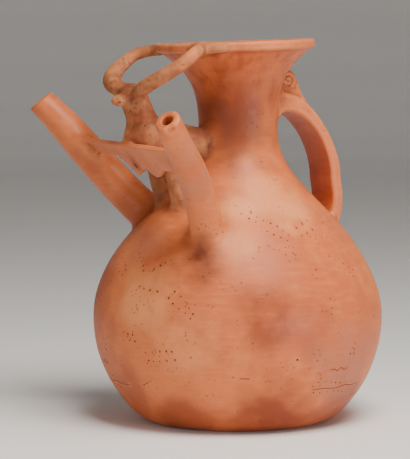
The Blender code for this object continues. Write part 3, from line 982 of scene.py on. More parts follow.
class Plate(Form):
    """A flat plate with a closed outline and rounded edges, lying in its matrix's XY plane."""

    def __init__(self, name, outline, thickness, matrix, rounding, fillet):
        self.outline = np.array([tuple(point) for point in outline])
        self.half = thickness / 2
        self.rounding = rounding
        self.turn = np.array(matrix.to_3x3())
        self.place = np.array(matrix.translation)
        flat = np.hstack([self.outline, np.zeros((len(outline), 1))])
        corners = np.vstack([flat + (0, 0, self.half), flat - (0, 0, self.half)])
        super().__init__(name, corners @ self.turn.T + self.place, fillet)

    def near(self, points):
        own = (points - self.place) @ self.turn
        flat = own[:, :2]
        best = np.full(len(flat), FAR)
        ways = np.zeros((len(flat), 2))
        inside = np.zeros(len(flat), bool)
        for start, end in zip(self.outline, np.roll(self.outline, -1, 0)):
            along = end - start
            passed = np.clip((flat - start) @ along / (along @ along), 0, 1)
            away = flat - start - passed[:, None] * along
            out = np.sqrt((away * away).sum(1)) + 1e-9
            closer = out < best
            best = np.where(closer, out, best)
            ways = np.where(closer[:, None], away / out[:, None], ways)
            spans = (start[1] > flat[:, 1]) != (end[1] > flat[:, 1])
            rise = along[1] if abs(along[1]) > 1e-12 else 1e-12
            inside ^= spans & (flat[:, 0] < start[0] + along[0] * (flat[:, 1] - start[1]) / rise)
        sign = np.where(inside, -1.0, 1.0)
        across = sign * best + self.rounding
        over = np.abs(own[:, 2]) - self.half + self.rounding
        side_way = np.hstack([ways * sign[:, None], np.zeros((len(flat), 1))])
        face_way = np.zeros((len(flat), 3))
        face_way[:, 2] = np.sign(own[:, 2])
        a = np.maximum(across, 0)
        b = np.maximum(over, 0)
        corner = np.sqrt(a * a + b * b)
        distance = np.minimum(np.maximum(across, over), 0) + corner - self.rounding
        rounded = (side_way * a[:, None] + face_way * b[:, None]) / (corner[:, None] + 1e-9)
        plain = np.where((across > over)[:, None], side_way, face_way)
        way = np.where((corner > 1e-8)[:, None], rounded, plain)
        return distance, way @ self.turn.T


class Ball(Form):
    def __init__(self, name, place, radius, fillet, worn=False):
        self.place = np.array(place)
        self.radius = radius
        corners = np.vstack([self.place - radius, self.place + radius])
        super().__init__(name, corners, fillet, worn)

    def near(self, points):
        away = points - self.place
        out = np.sqrt((away * away).sum(1)) + 1e-9
        return out - self.radius, away / out[:, None]


def soft_join(first, second, fillet):
    """Joins two (distances, ways) fields, rounding the corner where they meet."""
    (a, a_way), (b, b_way) = first, second
    overlap = np.clip(1 - np.abs(a - b) / fillet, 0, None)
    b_share = np.where(b < a, 1 - overlap / 2, overlap / 2)[:, None]
    joined = np.minimum(a, b) - overlap * overlap * fillet / 4
    return joined, a_way * (1 - b_share) + b_way * b_share


def soft_cut(first, second, fillet):
    (a, a_way), (b, b_way) = first, second
    joined, way = soft_join((-a, -a_way), (b, b_way), fillet)
    return -joined, -way


def field_of(points, joined, cut):
    """The distance of each point from the clay's surface, and the way out of it."""
    field = joined[0].measure(points)
    for form in joined[1:]:
        field = soft_join(field, form.measure(points), form.fillet)
    for form in cut:
        field = soft_cut(field, form.measure(points), form.fillet)
    return field


def neighbour_mean(points, edges):
    """The mean place of each point's neighbours."""
    count = np.bincount(edges.ravel(), minlength=len(points))
    mean = np.empty_like(points)
    for axis in range(3):
        column = points[:, axis]
        total = np.bincount(edges[:, 0], column[edges[:, 1]], len(points))
        total += np.bincount(edges[:, 1], column[edges[:, 0]], len(points))
        mean[:, axis] = total / count
    return mean


def jar_forms():
    """What is joined, and what is cut away, in order."""
    joined = [
        Skin("vessel", vessel_outside(), 1),
        trunk(),
        neck_and_head(),
        muzzle(),
        muzzle_knob(),
        chest_foot(),
        handle(),
        scroll(),
        coil("left"),
        coil("right"),
        pellet(),
    ]
    for side in SIDES:
        joined += [leg(side), spout(side)]
    joined += [web(), web_smear()]
    for side in SIDES:
        joined += [horn_smear(side), horn(side)]
    cut = [Skin("cavity", vessel_cavity(), 3), spout_chip(), muzzle_hole()]
    cut += [spout_bore(side) for side in SIDES]
    return joined, cut


def mouth_lean(points, height):
    """How far each point turns about the level line through the neck."""
    sizes = settings("jar_vessel")
    passed = np.clip((height - sizes.neck_height) / (sizes.height - sizes.neck_height), 0, 1)
    return sizes.mouth_tilt * passed * passed * (3 - 2 * passed)


def tilt_mouth(points, way=1):
    """Leans the mouth, its one side higher, or with way -1 takes that out again."""
    sizes = settings("jar_vessel")
    level = np.array([math.cos(sizes.tilt_turn), math.sin(sizes.tilt_turn)])
    out = points[:, :2] @ level
    up = points[:, 2] - sizes.neck_height

    def leaned(lean, sign):
        new_out = out * np.cos(lean) - sign * up * np.sin(lean)
        new_up = up * np.cos(lean) + sign * out * np.sin(lean)
        return new_out, new_up

    if way > 0:
        new_out, new_up = leaned(mouth_lean(points, points[:, 2]), 1)
    else:
        new_up = up
        for _ in range(5):
            new_out, new_up = leaned(mouth_lean(points, new_up + sizes.neck_height), -1)
    points[:, :2] += (new_out - out)[:, None] * level
    points[:, 2] = new_up + sizes.neck_height


def read_points(mesh):
    points = np.empty(len(mesh.vertices) * 3)
    mesh.vertices.foreach_get("co", points)
    return points.reshape(-1, 3)


def write_points(mesh, points):
    mesh.vertices.foreach_set("co", points.astype(np.float32).ravel())
    mesh.update()


def raw_skin():
    """A fine, even skin over the packed solid, with the mouth still level."""
    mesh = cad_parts[NODE].data.copy()
    made = bmesh.new()
    made.from_mesh(mesh)
    bmesh.ops.remove_doubles(made, verts=made.verts, dist=0.000005)
    made.to_mesh(mesh)
    made.free()
    points = read_points(mesh)
    tilt_mouth(points, -1)
    write_points(mesh, points)
    guide = bpy.data.objects.new("skin", mesh)
    remesh = guide.modifiers.new("remesh", "REMESH")
    remesh.mode = "VOXEL"
    remesh.voxel_size = settings("jar_surface").voxel
    remesh.use_smooth_shade = True
    return baked(guide)


def finer_zones():
    """(place, radius) of the balls within which the skin gets smaller faces."""
    centre = scroll_centre()
    animal = settings("jar_animal")
    zones = [((0, centre.x + 3 * MM, centre.y - 3 * MM), 19 * MM)]
    zones.append((tuple(bent_place("right", 1)), 14 * MM))
    zones.append((tuple(bent_place("left", 1)), 15 * MM))
    zones.append((tuple(ahead(animal.head_front + 8 * MM, 0, animal.head_height)), 16 * MM))
    return zones


def refine(mesh):
    """Split the skin's faces in the finer zones."""
    made = bmesh.new()
    made.from_mesh(mesh)
    zones = [(Vector(place), radius) for place, radius in finer_zones()]
    chosen = []
    for edge in made.edges:
        middle = (edge.verts[0].co + edge.verts[1].co) / 2
        if any((middle - place).length < radius for place, radius in zones):
            chosen.append(edge)
    bmesh.ops.subdivide_edges(made, edges=chosen, cuts=1, use_grid_fill=True)
    bmesh.ops.triangulate(made, faces=[face for face in made.faces if len(face.verts) > 4])
    made.to_mesh(mesh)
    made.free()


def read_edges(mesh):
    edges = np.empty(len(mesh.edges) * 2, np.int32)
    mesh.edges.foreach_get("vertices", edges)
    return edges.reshape(-1, 2)


def draw_skin(points, edges, joined, cut, rounds):
    """Draws the skin onto the smooth forms."""
    for _ in range(rounds):
        points += 0.5 * (neighbour_mean(points, edges) - points)
        distance, way = field_of(points, joined, cut)
        near = np.abs(distance) < REACH
        size = np.maximum((way * way).sum(1), 0.25)
        step = np.where(near, distance / size, 0)
        points -= way * np.clip(step, -3 * MM, 3 * MM)[:, None]


def smooth_step(low, high, values):
    passed = np.clip((values - low) / (high - low), 0, 1)
    return passed * passed * (3 - 2 * passed)


def lumps(points, size, seed):
    """Smooth noise from -1 to 1 at each point, in lumps of about a size."""
    near = points / size + seed
    return np.array([noise.noise(place) for place in near.tolist()])


def worn_share(points, joined):
    """1 on the animal and its horns, falling to 0 a little way onto the rest."""
    nearest = np.full(len(points), FAR)
    for form in joined:
        if form.worn:
            nearest = np.minimum(nearest, form.measure(points)[0])
    return 1 - smooth_step(0.5 * MM, 4.5 * MM, nearest)


def outward_normals(mesh):
    normals = np.empty(len(mesh.vertices) * 3, np.float32)
    mesh.vertex_normals.foreach_get("vector", normals)
    return normals.reshape(-1, 3).astype(float)


def lean_back(points):
    """Leans the shoulder a little to one side, as a hand-built jar does."""
    sizes = settings("jar_surface")
    height = points[:, 2] / MM
    bump = smooth_step(110, 160, height) * (1 - 0.6 * smooth_step(190, 240, height))
    points[:, :2] += sizes.lean * bump[:, None] * np.array([0.469, 0.883])


def crease_of(points, edges, normals):
    """How deep each point lies among its neighbours: above 0 in a hollow, below 0 on an edge."""
    depth = ((neighbour_mean(points, edges) - points) * normals).sum(1)
    rows = np.repeat(depth[:, None], 3, 1)
    for _ in range(2):
        rows = (rows + neighbour_mean(rows, edges)) / 2
    return rows[:, 0]


def on_wall(turn, height):
    """A place on the jar's outside, from a turn in degrees from the animal and a height in mm."""
    out = wall_radius(height * MM)
    turn = math.radians(turn)
    return Vector((out * math.sin(turn), -out * math.cos(turn), height * MM))


def firing_and_light_marks():
    """Clouds of colour, as (name, place, size, strength): firing clouds, and painted shade, painted sheen,
    a painted reflection and painted highlight.
    """
    marks = [
        ("ruddy", on_wall(76, 96), 32, 1.0),
        ("ruddy", on_wall(68, 108), 20, 0.6),
        ("ruddy", on_wall(92, 88), 28, 0.6),
        # These make the body darker and redder towards the base
        ("ruddy", on_wall(8, 30), 30, 0.6),
        ("ruddy", on_wall(80, 10), 46, 1.0),
        ("ruddy", on_wall(35, 10), 40, 0.8),
        ("ruddy", on_wall(125, 12), 44, 0.8),
        # A ruddy cloud on the left of the belly
        ("ruddy", on_wall(340, 110), 40, 0.7),
        # Painted sheen along the near spout
        ("grey", spout_place("right", 0.35) + Vector((0.009, -0.005, 0.004)), 22, 0.6),
        ("grey", spout_place("right", 0.7) + Vector((0.009, -0.005, 0.004)), 20, 0.4),
        # Painted reflection low on the right of the belly
        ("grey", on_wall(112, 56), 40, 0.8),
        # A grey cloud on the front, below the animal
        ("grey", on_wall(8, 148), 24, 0.4),
        # Painted shade under the near spout's root
        ("soot", on_wall(46, 142), 17, 1.0),
        ("soot", on_wall(48, 128), 17, 0.8),
        # Painted shade round the far foreleg's foot and behind the web between the legs
        ("soot", on_wall(342, 178), 22, 1.0),
        ("soot", Vector((-0.016, -0.066, 0.182)), 15, 1.0),
        ("soot", Vector((-0.016, -0.070, 0.197)), 13, 0.9),
        ("soot", on_wall(344, 196), 20, 0.9),
        # Painted shade on the neck under the flare, the ruddy cloud among them too
        ("soot", on_wall(66, 230), 38, 0.7),
        ("ruddy", on_wall(58, 256), 38, 0.9),
        ("soot", on_wall(30, 244), 24, 0.8),
        # Pale on the shoulder round the near spout: partly a lighter burnish, partly a painted highlight
        ("pale", on_wall(62, 176), 20, 0.9),
        ("pale", on_wall(84, 184), 26, 0.6),
        ("pale", on_wall(60, 150), 20, 0.5),
        ("pale", on_wall(100, 172), 26, 0.7),
        # Pale clouds on the front of the belly
        ("pale", on_wall(22, 106), 34, 0.7),
        ("pale", on_wall(40, 74), 30, 0.4),
    ]
    # The hidden side has clouds of the same kinds, more loosely set
    hidden = (("ruddy", 38), ("pale", 34), ("grey", 36), ("pale", 30), ("ruddy", 32))
    for index, (name, size) in enumerate(hidden):
        marks.append((name, on_wall(165 + 40 * index, 70 + 29 * (index * 2 % 5)), size, 0.7))
    return marks


MARK_NAMES = ("ruddy", "grey", "soot", "pale")


def paint_marks(points):
    """The strength of each kind of cloud at each point."""
    painted = {name: np.zeros(len(points)) for name in MARK_NAMES}
    ragged = lumps(points, 22 * MM, 3.1) * 0.35 + lumps(points, 9 * MM, 7.7) * 0.15
    for name, place, size, strength in firing_and_light_marks():
        away = points - np.array(place)
        out = np.sqrt((away * away).sum(1)) / (size * MM) + ragged
        painted[name] = np.maximum(painted[name], strength * (1 - smooth_step(0.25, 1.15, out)))
    return painted


def paint(mesh, name, values):
    mesh.attributes.new(name, "FLOAT", "POINT").data.foreach_set("value", values.astype(np.float32))


def triangle_count(mesh):
    return sum(len(face.vertices) - 2 for face in mesh.polygons)


def lighter(mesh, dense_points):
    """The mesh with fewer faces where it is plain, and the old points nearest to its points."""
    guide = bpy.data.objects.new("skin", mesh)
    guide.modifiers.new("threes", "TRIANGULATE")
    decimate = guide.modifiers.new("fewer", "DECIMATE")
    decimate.ratio = min(1, settings("jar_surface").most_faces / triangle_count(mesh))
    light = baked(guide)
    tree = KDTree(len(dense_points))
    for index, place in enumerate(dense_points.tolist()):
        tree.insert(place, index)
    tree.balance()
    nearest = np.array([tree.find(place)[1] for place in read_points(light).tolist()])
    return light, nearest


class JAR_OT_clay(bpy.types.Operator):
    """Model the fired jar in one piece, over its packed solid"""

    bl_idname = "jar.clay"
    bl_label = "Model the jar"

    def execute(self, context):
        surface = settings("jar_surface")
        mesh = raw_skin()
        joined, cut = jar_forms()
        points = read_points(mesh)
        draw_skin(points, read_edges(mesh), joined, cut, surface.rounds)
        write_points(mesh, points)
        refine(mesh)
        edges = read_edges(mesh)
        points = read_points(mesh)
        draw_skin(points, edges, joined, cut, 2)
        worn = worn_share(points, joined)
        write_points(mesh, points)
        normals = outward_normals(mesh)
        crease = crease_of(points, edges, normals)
        standing = smooth_step(2 * MM, 14 * MM, points[:, 2])
        sway = surface.sway * lumps(points, 46 * MM, 1.7)
        sway += 0.25 * surface.sway * lumps(points, 17 * MM, 5.3)
        crust = lumps(points, 6 * MM, 9.1) + 0.6 * lumps(points, 2.8 * MM, 4.4)
        height = standing * sway + surface.crust * 0.5 * worn * crust
        points += normals * height[:, None]
        lean_back(points)
        tilt_mouth(points)
        write_points(mesh, points)
        painted = paint_marks(points)
        painted["worn"] = worn
        # Hollow is how deep a point lies in a crease; the material paints shade there and leaves it
        # unburnished
        painted["hollow"] = np.clip(crease / (0.10 * MM), 0, 1)
        painted["edge"] = np.clip(-crease / (0.10 * MM), 0, 1)
        light, nearest = lighter(mesh, points)
        for name, values in painted.items():
            paint(light, name, values[nearest])
        light.shade_smooth()
        light.materials.clear()
        light.materials.append(burnished_clay())
        light.materials.append(pricked_clay())
        jar = bpy.data.objects.new("fired_jar", light)
        context.scene.collection.objects.link(jar)
        return {"FINISHED"}


# Pricked and scratched ornament


# A group of pricked rows side by side. It starts at a turn in degrees from the animal and a height.
# Its rows run down at a lean in degrees, with dots a spacing and rows a gap apart. Lengths are in mm.
RowGroup = namedtuple("RowGroup", "turn height lean spacing dots rows gap")
ROW_GROUPS = (
    # Shoulder
    RowGroup(turn=71, height=172, lean=30, spacing=5.5, dots=7, rows=2, gap=5.5),
    RowGroup(turn=98, height=160, lean=-15, spacing=7, dots=3, rows=2, gap=6),
    RowGroup(turn=115, height=134, lean=28, spacing=5.5, dots=4, rows=2, gap=5.5),
    # Two rows that meet in a V, on the belly
    RowGroup(turn=8, height=140, lean=40, spacing=5, dots=5, rows=1, gap=0),
    RowGroup(turn=22, height=129, lean=-30, spacing=5.5, dots=6, rows=1, gap=0),
    RowGroup(turn=18, height=116, lean=10, spacing=6, dots=4, rows=1, gap=0),
    RowGroup(turn=36, height=114, lean=40, spacing=6, dots=5, rows=2, gap=6),
    # Lower body
    RowGroup(turn=12, height=79, lean=0, spacing=6, dots=3, rows=2, gap=6),
    RowGroup(turn=24, height=66, lean=-5, spacing=6, dots=5, rows=2, gap=7),
    RowGroup(turn=18, height=38, lean=-25, spacing=4, dots=4, rows=1, gap=0),
    RowGroup(turn=116, height=70, lean=100, spacing=4, dots=3, rows=2, gap=4),
    RowGroup(turn=98, height=42, lean=5, spacing=6.5, dots=7, rows=2, gap=8),
)
# Single pits larger than the dots, as turn, height in mm and share of a dot's radius
PITS = ((50, 124, 1.3), (86, 62, 1.5), (110, 138, 1.0))
# A scratched line between two turns at a height, which wavers by so many mm
Scratch = namedtuple("Scratch", "turn last_turn height waver")
SCRATCHES = (Scratch(96, 128, 36, 0.7), Scratch(103, 113, 51, 1.2), Scratch(63, 67, 48, 0.4))
SCRATCH_STEPS = 6
# The rows and scratches come again this much further round, on the hidden side
REPEAT_TURNS = (0, 132, 241)


def prick_tree():
    """Balls at the points that have a prick radius, and thin bars along the edges."""
    tree = bpy.data.node_groups.new("prick_marks", "GeometryNodeTree")
    new_socket(tree, "Marks", "NodeSocketGeometry")
    new_socket(tree, "Line Radius", "NodeSocketFloat", 0.0004)
    new_socket(tree, "Clay", "NodeSocketMaterial")
    new_socket(tree, "Tools", "NodeSocketGeometry", output=True)
    given = add_node(tree, "NodeGroupInput").outputs
    size = add_node(tree, "GeometryNodeInputNamedAttribute", {"Name": "prick_radius"}, data_type="FLOAT")
    radius = size.outputs["Attribute"]
    is_dot = add_node(tree, "FunctionNodeCompare", {0: radius, 1: 0.0}, operation="GREATER_THAN")
    dot = add_node(tree, "GeometryNodeMeshIcoSphere", {"Radius": 1.0, "Subdivisions": 2})
    dots = add_node(
        tree,
        "GeometryNodeInstanceOnPoints",
        {
            "Points": given["Marks"],
            "Selection": is_dot.outputs[0],
            "Instance": dot.outputs["Mesh"],
            "Scale": radius,
        },
    )
    line = add_node(tree, "GeometryNodeMeshToCurve", {"Mesh": given["Marks"]})
    round_line = add_node(
        tree, "GeometryNodeCurvePrimitiveCircle", {"Resolution": 8, "Radius": given["Line Radius"]}
    )
    bars = add_node(
        tree,
        "GeometryNodeCurveToMesh",
        {"Curve": line.outputs[0], "Profile Curve": round_line.outputs[0], "Fill Caps": True},
    )
    both = tree.nodes.new("GeometryNodeJoinGeometry")
    tree.links.new(dots.outputs[0], both.inputs[0])
    tree.links.new(bars.outputs[0], both.inputs[0])
    finish_tree(tree, both.outputs[0], given["Clay"])
    return tree


def row_places(group):
    """(row, step, turn in degrees, height in mm) of each dot in a group."""
    lean = math.radians(group.lean)
    for row in range(group.rows):
        for step in range(group.dots):
            across = step * group.spacing * math.cos(lean) - row * group.gap * math.sin(lean)
            down = step * group.spacing * math.sin(lean) + row * group.gap * math.cos(lean)
            height = group.height - down
            turn = group.turn + math.degrees(across * MM / wall_radius(height * MM))
            yield row, step, turn, height


def mark_places():
    """(place, radius) of every dot, and the points of every scratch, on the smooth wall."""
    radius = settings("jar_surface").prick_radius
    dots = []
    scratches = []
    for again in REPEAT_TURNS:
        for index, group in enumerate(ROW_GROUPS):
            for row, step, turn, height in row_places(group):
                # The hand that pricked them was not quite even
                jog = 0.6 * math.sin(3.7 * index + 5.1 * step + 2.3 * row + again)
                size = radius * (1 + 0.22 * math.sin(2.3 * index + 4.9 * step + row))
                dots.append((on_wall(turn + again + jog, height + jog), size))
        for turn, height, size in PITS:
            dots.append((on_wall(turn + again, height), size * radius))
        for scratch in SCRATCHES:
            line = []
            for step in range(SCRATCH_STEPS):
                passed = step / (SCRATCH_STEPS - 1)
                turn = scratch.turn + (scratch.last_turn - scratch.turn) * passed
                line.append(on_wall(turn + again, scratch.height + scratch.waver * math.sin(2.6 * step)))
            scratches.append(line)
    return dots, scratches


def handle_clear(place):
    """Whether a place on the wall is clear of the handle's foot and the spouts' roots."""
    turn = math.degrees(math.atan2(place.x, -place.y)) % 360
    if place.z > 112 * MM and abs(turn - 180) < 24:
        return False
    spouts = [abs((turn - sign_of(side) * 43.5 + 180) % 360 - 180) for side in SIDES]
    return not (place.z > 118 * MM and min(spouts) < 12)


class JAR_OT_ornament(bpy.types.Operator):
    """Prick the rows of dots and scratch the lines into the wall"""

    bl_idname = "jar.ornament"
    bl_label = "Prick the ornament"

    def execute(self, context):
        surface = settings("jar_surface")
        jar = bpy.data.objects["fired_jar"]
        wall = BVHTree.FromPolygons(
            [v.co for v in jar.data.vertices], [tuple(p.vertices) for p in jar.data.polygons]
        )
        dots, scratches = mark_places()
        places = []
        sizes = []
        edges = []
        for place, radius in dots:
            if handle_clear(place):
                places.append(wall.find_nearest(place)[0])
                sizes.append(radius)
        for line in scratches:
            path = smooth_path([(place, 0) for place in line], 5)[:, :3]
            for step, place in enumerate(path):
                if step:
                    edges.append((len(places) - 1, len(places)))
                places.append(wall.find_nearest(Vector(place))[0])
                sizes.append(0)
        marks = bpy.data.meshes.new("marks")
        marks.from_pydata(places, edges, [])
        paint(marks, "prick_radius", np.array(sizes))
        guide = bpy.data.objects.new("marks", marks)
        values = {"Line Radius": surface.line_radius, "Clay": jar.data.materials[1]}
        tools = bake_nodes(guide, prick_tree(), values)
        tools.materials.clear()
        for material in jar.data.materials:
            tools.materials.append(material)
        tools.polygons.foreach_set("material_index", np.ones(len(tools.polygons), np.int32))
        tool = bpy.data.objects.new("pricks", tools)
        context.scene.collection.objects.link(tool)
        cut_jar = bpy.data.objects.new("cut_jar", jar.data)
        boolean = cut_jar.modifiers.new("prick", "BOOLEAN")
        boolean.operation = "DIFFERENCE"
        boolean.solver = "MANIFOLD"
        boolean.object = tool
        pricked = baked(cut_jar)
        bpy.data.objects.remove(tool, do_unlink=True)
        if len(pricked.polygons) <= len(jar.data.polygons):
            raise RuntimeError("the pricks left no marks")
        jar.data = pricked
        pricked.set_sharp_from_angle(angle=math.radians(42))
        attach(jar, "root")
        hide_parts(NODE)
        if triangle_count(pricked) >= MOST_TRIANGLES:
            raise RuntimeError(f"the jar has {triangle_count(pricked)} triangles")
        print("fired_jar", triangle_count(pricked), "triangles")
        return {"FINISHED"}


# Finish


def new_material(name):
    material = bpy.data.materials.new(name)
    material.use_nodes = True
    return material, material.node_tree, material.node_tree.nodes["Principled BSDF"]


def mix_colour(tree, factor, first, second):
    node = add_node(tree, "ShaderNodeMix", data_type="RGBA")
    for socket, value in zip((node.inputs[0], node.inputs[6], node.inputs[7]), (factor, first, second)):
        if isinstance(value, bpy.types.NodeSocket):
            tree.links.new(value, socket)
        elif socket.type == "RGBA":
            socket.default_value = (*value, 1.0)
        else:
            socket.default_value = value
    return node.outputs[2]


def object_noise(tree, scale, detail=3.0, roughness=0.5):
    where = add_node(tree, "ShaderNodeTexCoord").outputs["Object"]
    return add_node(
        tree,
        "ShaderNodeTexNoise",
        {"Vector": where, "Scale": scale, "Detail": detail, "Roughness": roughness},
    ).outputs[0]


def ramp(tree, value, low, high):
    """0 below low and 1 above high, smoothly."""
    return add_node(
        tree,
        "ShaderNodeMapRange",
        {"Value": value, "From Min": low, "From Max": high},
        interpolation_type="SMOOTHSTEP",
    ).outputs[0]


def painted_value(tree, name):
    return add_node(tree, "ShaderNodeAttribute", attribute_name=name).outputs["Fac"]


def stretched_noise(tree, scale, stretch, detail=3.0):
    """Noise that is drawn out along the axes, for strokes and streaks."""
    where = add_node(tree, "ShaderNodeTexCoord").outputs["Object"]
    mapped = add_node(tree, "ShaderNodeMapping", {"Vector": where, "Scale": stretch})
    return add_node(
        tree, "ShaderNodeTexNoise", {"Vector": mapped.outputs[0], "Scale": scale, "Detail": detail}
    ).outputs[0]


def grain_group():
    """Grit and pinholes, the finest relief of low-fired clay, for every clay here."""
    group = bpy.data.node_groups.new("clay_grain", "ShaderNodeTree")
    new_socket(group, "Size", "NodeSocketFloat", 1.0)
    new_socket(group, "Grit", "NodeSocketFloat", output=True)
    new_socket(group, "Pinholes", "NodeSocketFloat", output=True)
    given = add_node(group, "NodeGroupInput").outputs
    where = add_node(group, "ShaderNodeTexCoord").outputs["Object"]
    grit_scale = maths(group, "DIVIDE", 700.0, given["Size"])
    grit = add_node(group, "ShaderNodeTexNoise", {"Vector": where, "Scale": grit_scale, "Detail": 4.0})
    hole_scale = maths(group, "DIVIDE", 260.0, given["Size"])
    cells = add_node(
        group, "ShaderNodeTexVoronoi", {"Vector": where, "Scale": hole_scale, "Randomness": 1.0}
    )
    sparse = add_node(group, "ShaderNodeTexNoise", {"Vector": where, "Scale": 60.0, "Detail": 2.0})
    hole = ramp(group, cells.outputs["Distance"], 0.30, 0.12)
    holes = times(group, hole, ramp(group, sparse.outputs[0], 0.52, 0.66))
    add_node(group, "NodeGroupOutput", {0: grit.outputs[0], 1: holes})
    return group


def burnished_clay():
    finish = settings("jar_finish")
    material, tree, shader = new_material("burnished_clay")
    grain = add_node(tree, "ShaderNodeGroup", node_tree=grain_group())
    grain.inputs["Size"].default_value = 1.0
    grit, holes = grain.outputs["Grit"], grain.outputs["Pinholes"]
    worn = painted_value(tree, "worn")
    hollow = painted_value(tree, "hollow")
    edge = painted_value(tree, "edge")
    broad = object_noise(tree, 13, 3)
    fine = object_noise(tree, 70, 4, 0.6)
    mottle = maths(tree, "ADD", times(tree, broad, 0.65), times(tree, fine, 0.35))
    strokes = stretched_noise(tree, 55, (1, 1, 6), 3)
    streaks = stretched_noise(tree, 120, (1, 1, 0.12), 3)

    tone = mix_colour(tree, ramp(tree, mottle, 0.40, 0.62), finish.body, finish.warm)
    tone = mix_colour(tree, times(tree, ramp(tree, strokes, 0.45, 0.7), 0.14), tone, finish.pale)
    where = add_node(tree, "ShaderNodeTexCoord").outputs["Object"]
    high = add_node(tree, "ShaderNodeSeparateXYZ", {0: where})
    flare = ramp(tree, high.outputs["Z"], 0.236, 0.262)
    streak = times(tree, ramp(tree, streaks, 0.45, 0.68), flare)
    tone = mix_colour(tree, times(tree, streak, 0.45), tone, finish.ruddy)
    crusted = mix_colour(tree, ramp(tree, fine, 0.38, 0.62), finish.crust, finish.tan)
    crusted = mix_colour(tree, ramp(tree, object_noise(tree, 190, 3), 0.56, 0.72), crusted, finish.dirt_and_shade)
    patchy = times(tree, worn, ramp(tree, object_noise(tree, 32, 3), 0.25, 0.5))
    tone = mix_colour(tree, times(tree, patchy, 0.85), tone, crusted)
    # The clouds lay the firing colours together with painted shade, a painted sheen, a painted reflection
    # and a painted highlight
    for name in MARK_NAMES:
        cloud = times(tree, painted_value(tree, name), ramp(tree, mottle, 0.25, 0.55))
        tone = mix_colour(tree, cloud, tone, getattr(finish, name))
    tone = mix_colour(tree, times(tree, ramp(tree, grit, 0.60, 0.78), 0.25), tone, finish.dirt_and_shade)
    # Lighter on the convex edges
    tone = mix_colour(tree, times(tree, edge, 0.3), tone, finish.pale)
    # Painted shade in the creases
    tone = mix_colour(tree, times(tree, hollow, 0.75), tone, finish.dirt_and_shade)
    tone = mix_colour(tree, times(tree, holes, 0.6), tone, finish.dirt_and_shade)
    tree.links.new(tone, shader.inputs["Base Color"])

    rough_range = {"To Min": finish.gloss - 0.05, "To Max": finish.gloss + 0.10}
    rough = add_node(
        tree,
        "ShaderNodeMapRange",
        {"Value": strokes, "From Min": 0.3, "From Max": 0.7, **rough_range},
    ).outputs[0]
    bare = maths(tree, "MAXIMUM", worn, hollow)
    span = maths(tree, "SUBTRACT", finish.bare, rough)
    rough = maths(tree, "ADD", rough, times(tree, span, bare), clamp=True)
    tree.links.new(rough, shader.inputs["Roughness"])
    shader.inputs["Specular IOR Level"].default_value = 0.22

    relief = maths(tree, "ADD", times(tree, strokes, 0.25), times(tree, grit, 0.25))
    relief = maths(tree, "ADD", relief, times(tree, times(tree, fine, worn), 1.2))
    relief = maths(tree, "SUBTRACT", relief, times(tree, holes, 0.8))
    bump = add_node(tree, "ShaderNodeBump", {"Height": relief, "Strength": 0.35, "Distance": 0.0006})
    tree.links.new(bump.outputs[0], shader.inputs["Normal"])
    return material


def pricked_clay():
    """The raw clay inside the pricks and scratches, coloured dark as painted shade in these small recesses.
    """
    finish = settings("jar_finish")
    material, tree, shader = new_material("pricked_clay")
    grain = add_node(tree, "ShaderNodeGroup", node_tree=bpy.data.node_groups["clay_grain"])
    grain.inputs["Size"].default_value = 0.7
    tone = mix_colour(tree, grain.outputs["Grit"], finish.dirt_and_shade, finish.soot)
    tree.links.new(tone, shader.inputs["Base Color"])
    shader.inputs["Roughness"].default_value = 0.9
    return material


# Stage


def plain_material(name, tint, roughness):
    material, _, shader = new_material(name)
    shader.inputs["Base Color"].default_value = (*tint, 1.0)
    shader.inputs["Roughness"].default_value = roughness
    return material


def soft_light(name, place, aim, size, power, tint):
    light = bpy.data.lights.new(name, "AREA")
    light.shape = "RECTANGLE"
    light.size, light.size_y = size
    light.energy = power
    light.color = tint
    lamp = bpy.data.objects.new(name, light)
    lamp.location = place
    lamp.rotation_euler = (Vector(aim) - Vector(place)).to_track_quat("-Z", "Y").to_euler()
    bpy.context.scene.collection.objects.link(lamp)


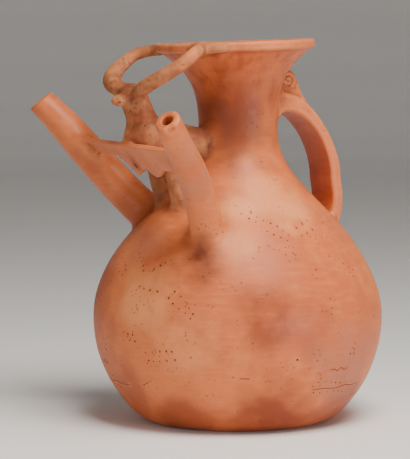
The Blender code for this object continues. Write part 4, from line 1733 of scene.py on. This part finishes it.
def sweep():
    """A pale floor that runs level round the jar and curves up far behind it, on every side."""
    level = 2.6
    bend = 1.2
    top = 4.0
    outline = [(0, 0), (level, 0)]
    steps = 12
    for step in range(steps + 1):
        turn = math.pi / 2 * step / steps
        outline.append((level + bend * math.sin(turn), bend * (1 - math.cos(turn))))
    mesh = turned(outline + [(level + bend, top)])
    mesh.materials.clear()
    mesh.materials.append(plain_material("floor_paint", settings("jar_stage").floor, 0.9))
    floor = bpy.data.objects.new("floor", mesh)
    bpy.context.scene.collection.objects.link(floor)
    floor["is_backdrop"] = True


class JAR_OT_stage(bpy.types.Operator):
    """Set the floor, the lights and the camera"""

    bl_idname = "jar.stage"
    bl_label = "Set the stage"

    def execute(self, context):
        stage = settings("jar_stage")
        toward = Vector((math.sin(stage.camera_turn), -math.cos(stage.camera_turn), 0))
        side = Vector((-toward.y, toward.x, 0))
        camera = bpy.data.objects.new("camera", bpy.data.cameras.new("camera"))
        camera.data.lens = stage.lens
        camera.location = toward * stage.camera_distance + Vector((0, 0, stage.camera_height))
        aim = side * -stage.aim_side + Vector((0, 0, stage.aim_height))
        camera.rotation_euler = (aim - camera.location).to_track_quat("-Z", "Y").to_euler()
        context.scene.collection.objects.link(camera)
        context.scene.camera = camera
        sweep()
        world = bpy.data.worlds.new("studio")
        world.use_nodes = True
        background = world.node_tree.nodes["Background"]
        background.inputs["Color"].default_value = (0.95, 0.96, 1.0, 1)
        background.inputs["Strength"].default_value = 0.13
        context.scene.world = world
        aim = (0, 0, 0.14)
        key = toward * 0.62 + side * 0.30 + Vector((0, 0, 1.30))
        soft_light("key", key, aim, (0.7, 0.7), 29, (1.0, 0.95, 0.88))
        fill = toward * 1.7 - side * 0.9 + Vector((0, 0, 0.35))
        soft_light("fill", fill, aim, (0.9, 0.7), 7, (1.0, 0.96, 0.92))
        low = toward * 0.8 + side * 0.75 + Vector((0, 0, 0.10))
        soft_light("low", low, (0, 0, 0.08), (0.40, 0.20), 5, (0.96, 0.95, 1.0))
        return {"FINISHED"}


class JAR_PT_panel(bpy.types.Panel):
    """Lists the steps and the sizes"""

    bl_idname = "JAR_PT_panel"
    bl_label = "Spouted jar"
    bl_space_type = "VIEW_3D"
    bl_region_type = "UI"
    bl_category = "Jar"

    def draw(self, context):
        for operator in OPERATORS:
            self.layout.operator(operator.bl_idname)
        for name, group in GROUPS.items():
            box = self.layout.box()
            box.label(text=group.__doc__)
            for field in group.__annotations__:
                box.prop(getattr(context.scene, name), field)


OPERATORS = (JAR_OT_clay, JAR_OT_ornament, JAR_OT_stage)


def register():
    for group in GROUPS.values():
        bpy.utils.register_class(group)
    for name, group in GROUPS.items():
        setattr(bpy.types.Scene, name, PointerProperty(type=group))
    for panel_or_operator in (*OPERATORS, JAR_PT_panel):
        bpy.utils.register_class(panel_or_operator)


def unregister():
    for panel_or_operator in (JAR_PT_panel, *reversed(OPERATORS)):
        bpy.utils.unregister_class(panel_or_operator)
    for name in GROUPS:
        delattr(bpy.types.Scene, name)
    for group in reversed(GROUPS.values()):
        bpy.utils.unregister_class(group)


def main():
    register()
    bpy.ops.jar.clay()
    bpy.ops.jar.ornament()
    bpy.ops.jar.stage()
    boxes = {"cad": CAD_BOX, "visual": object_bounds()}
    {name: [list(corner) for corner in box] for name, box in boxes.items()}


if __name__ == "__main__":
    main()
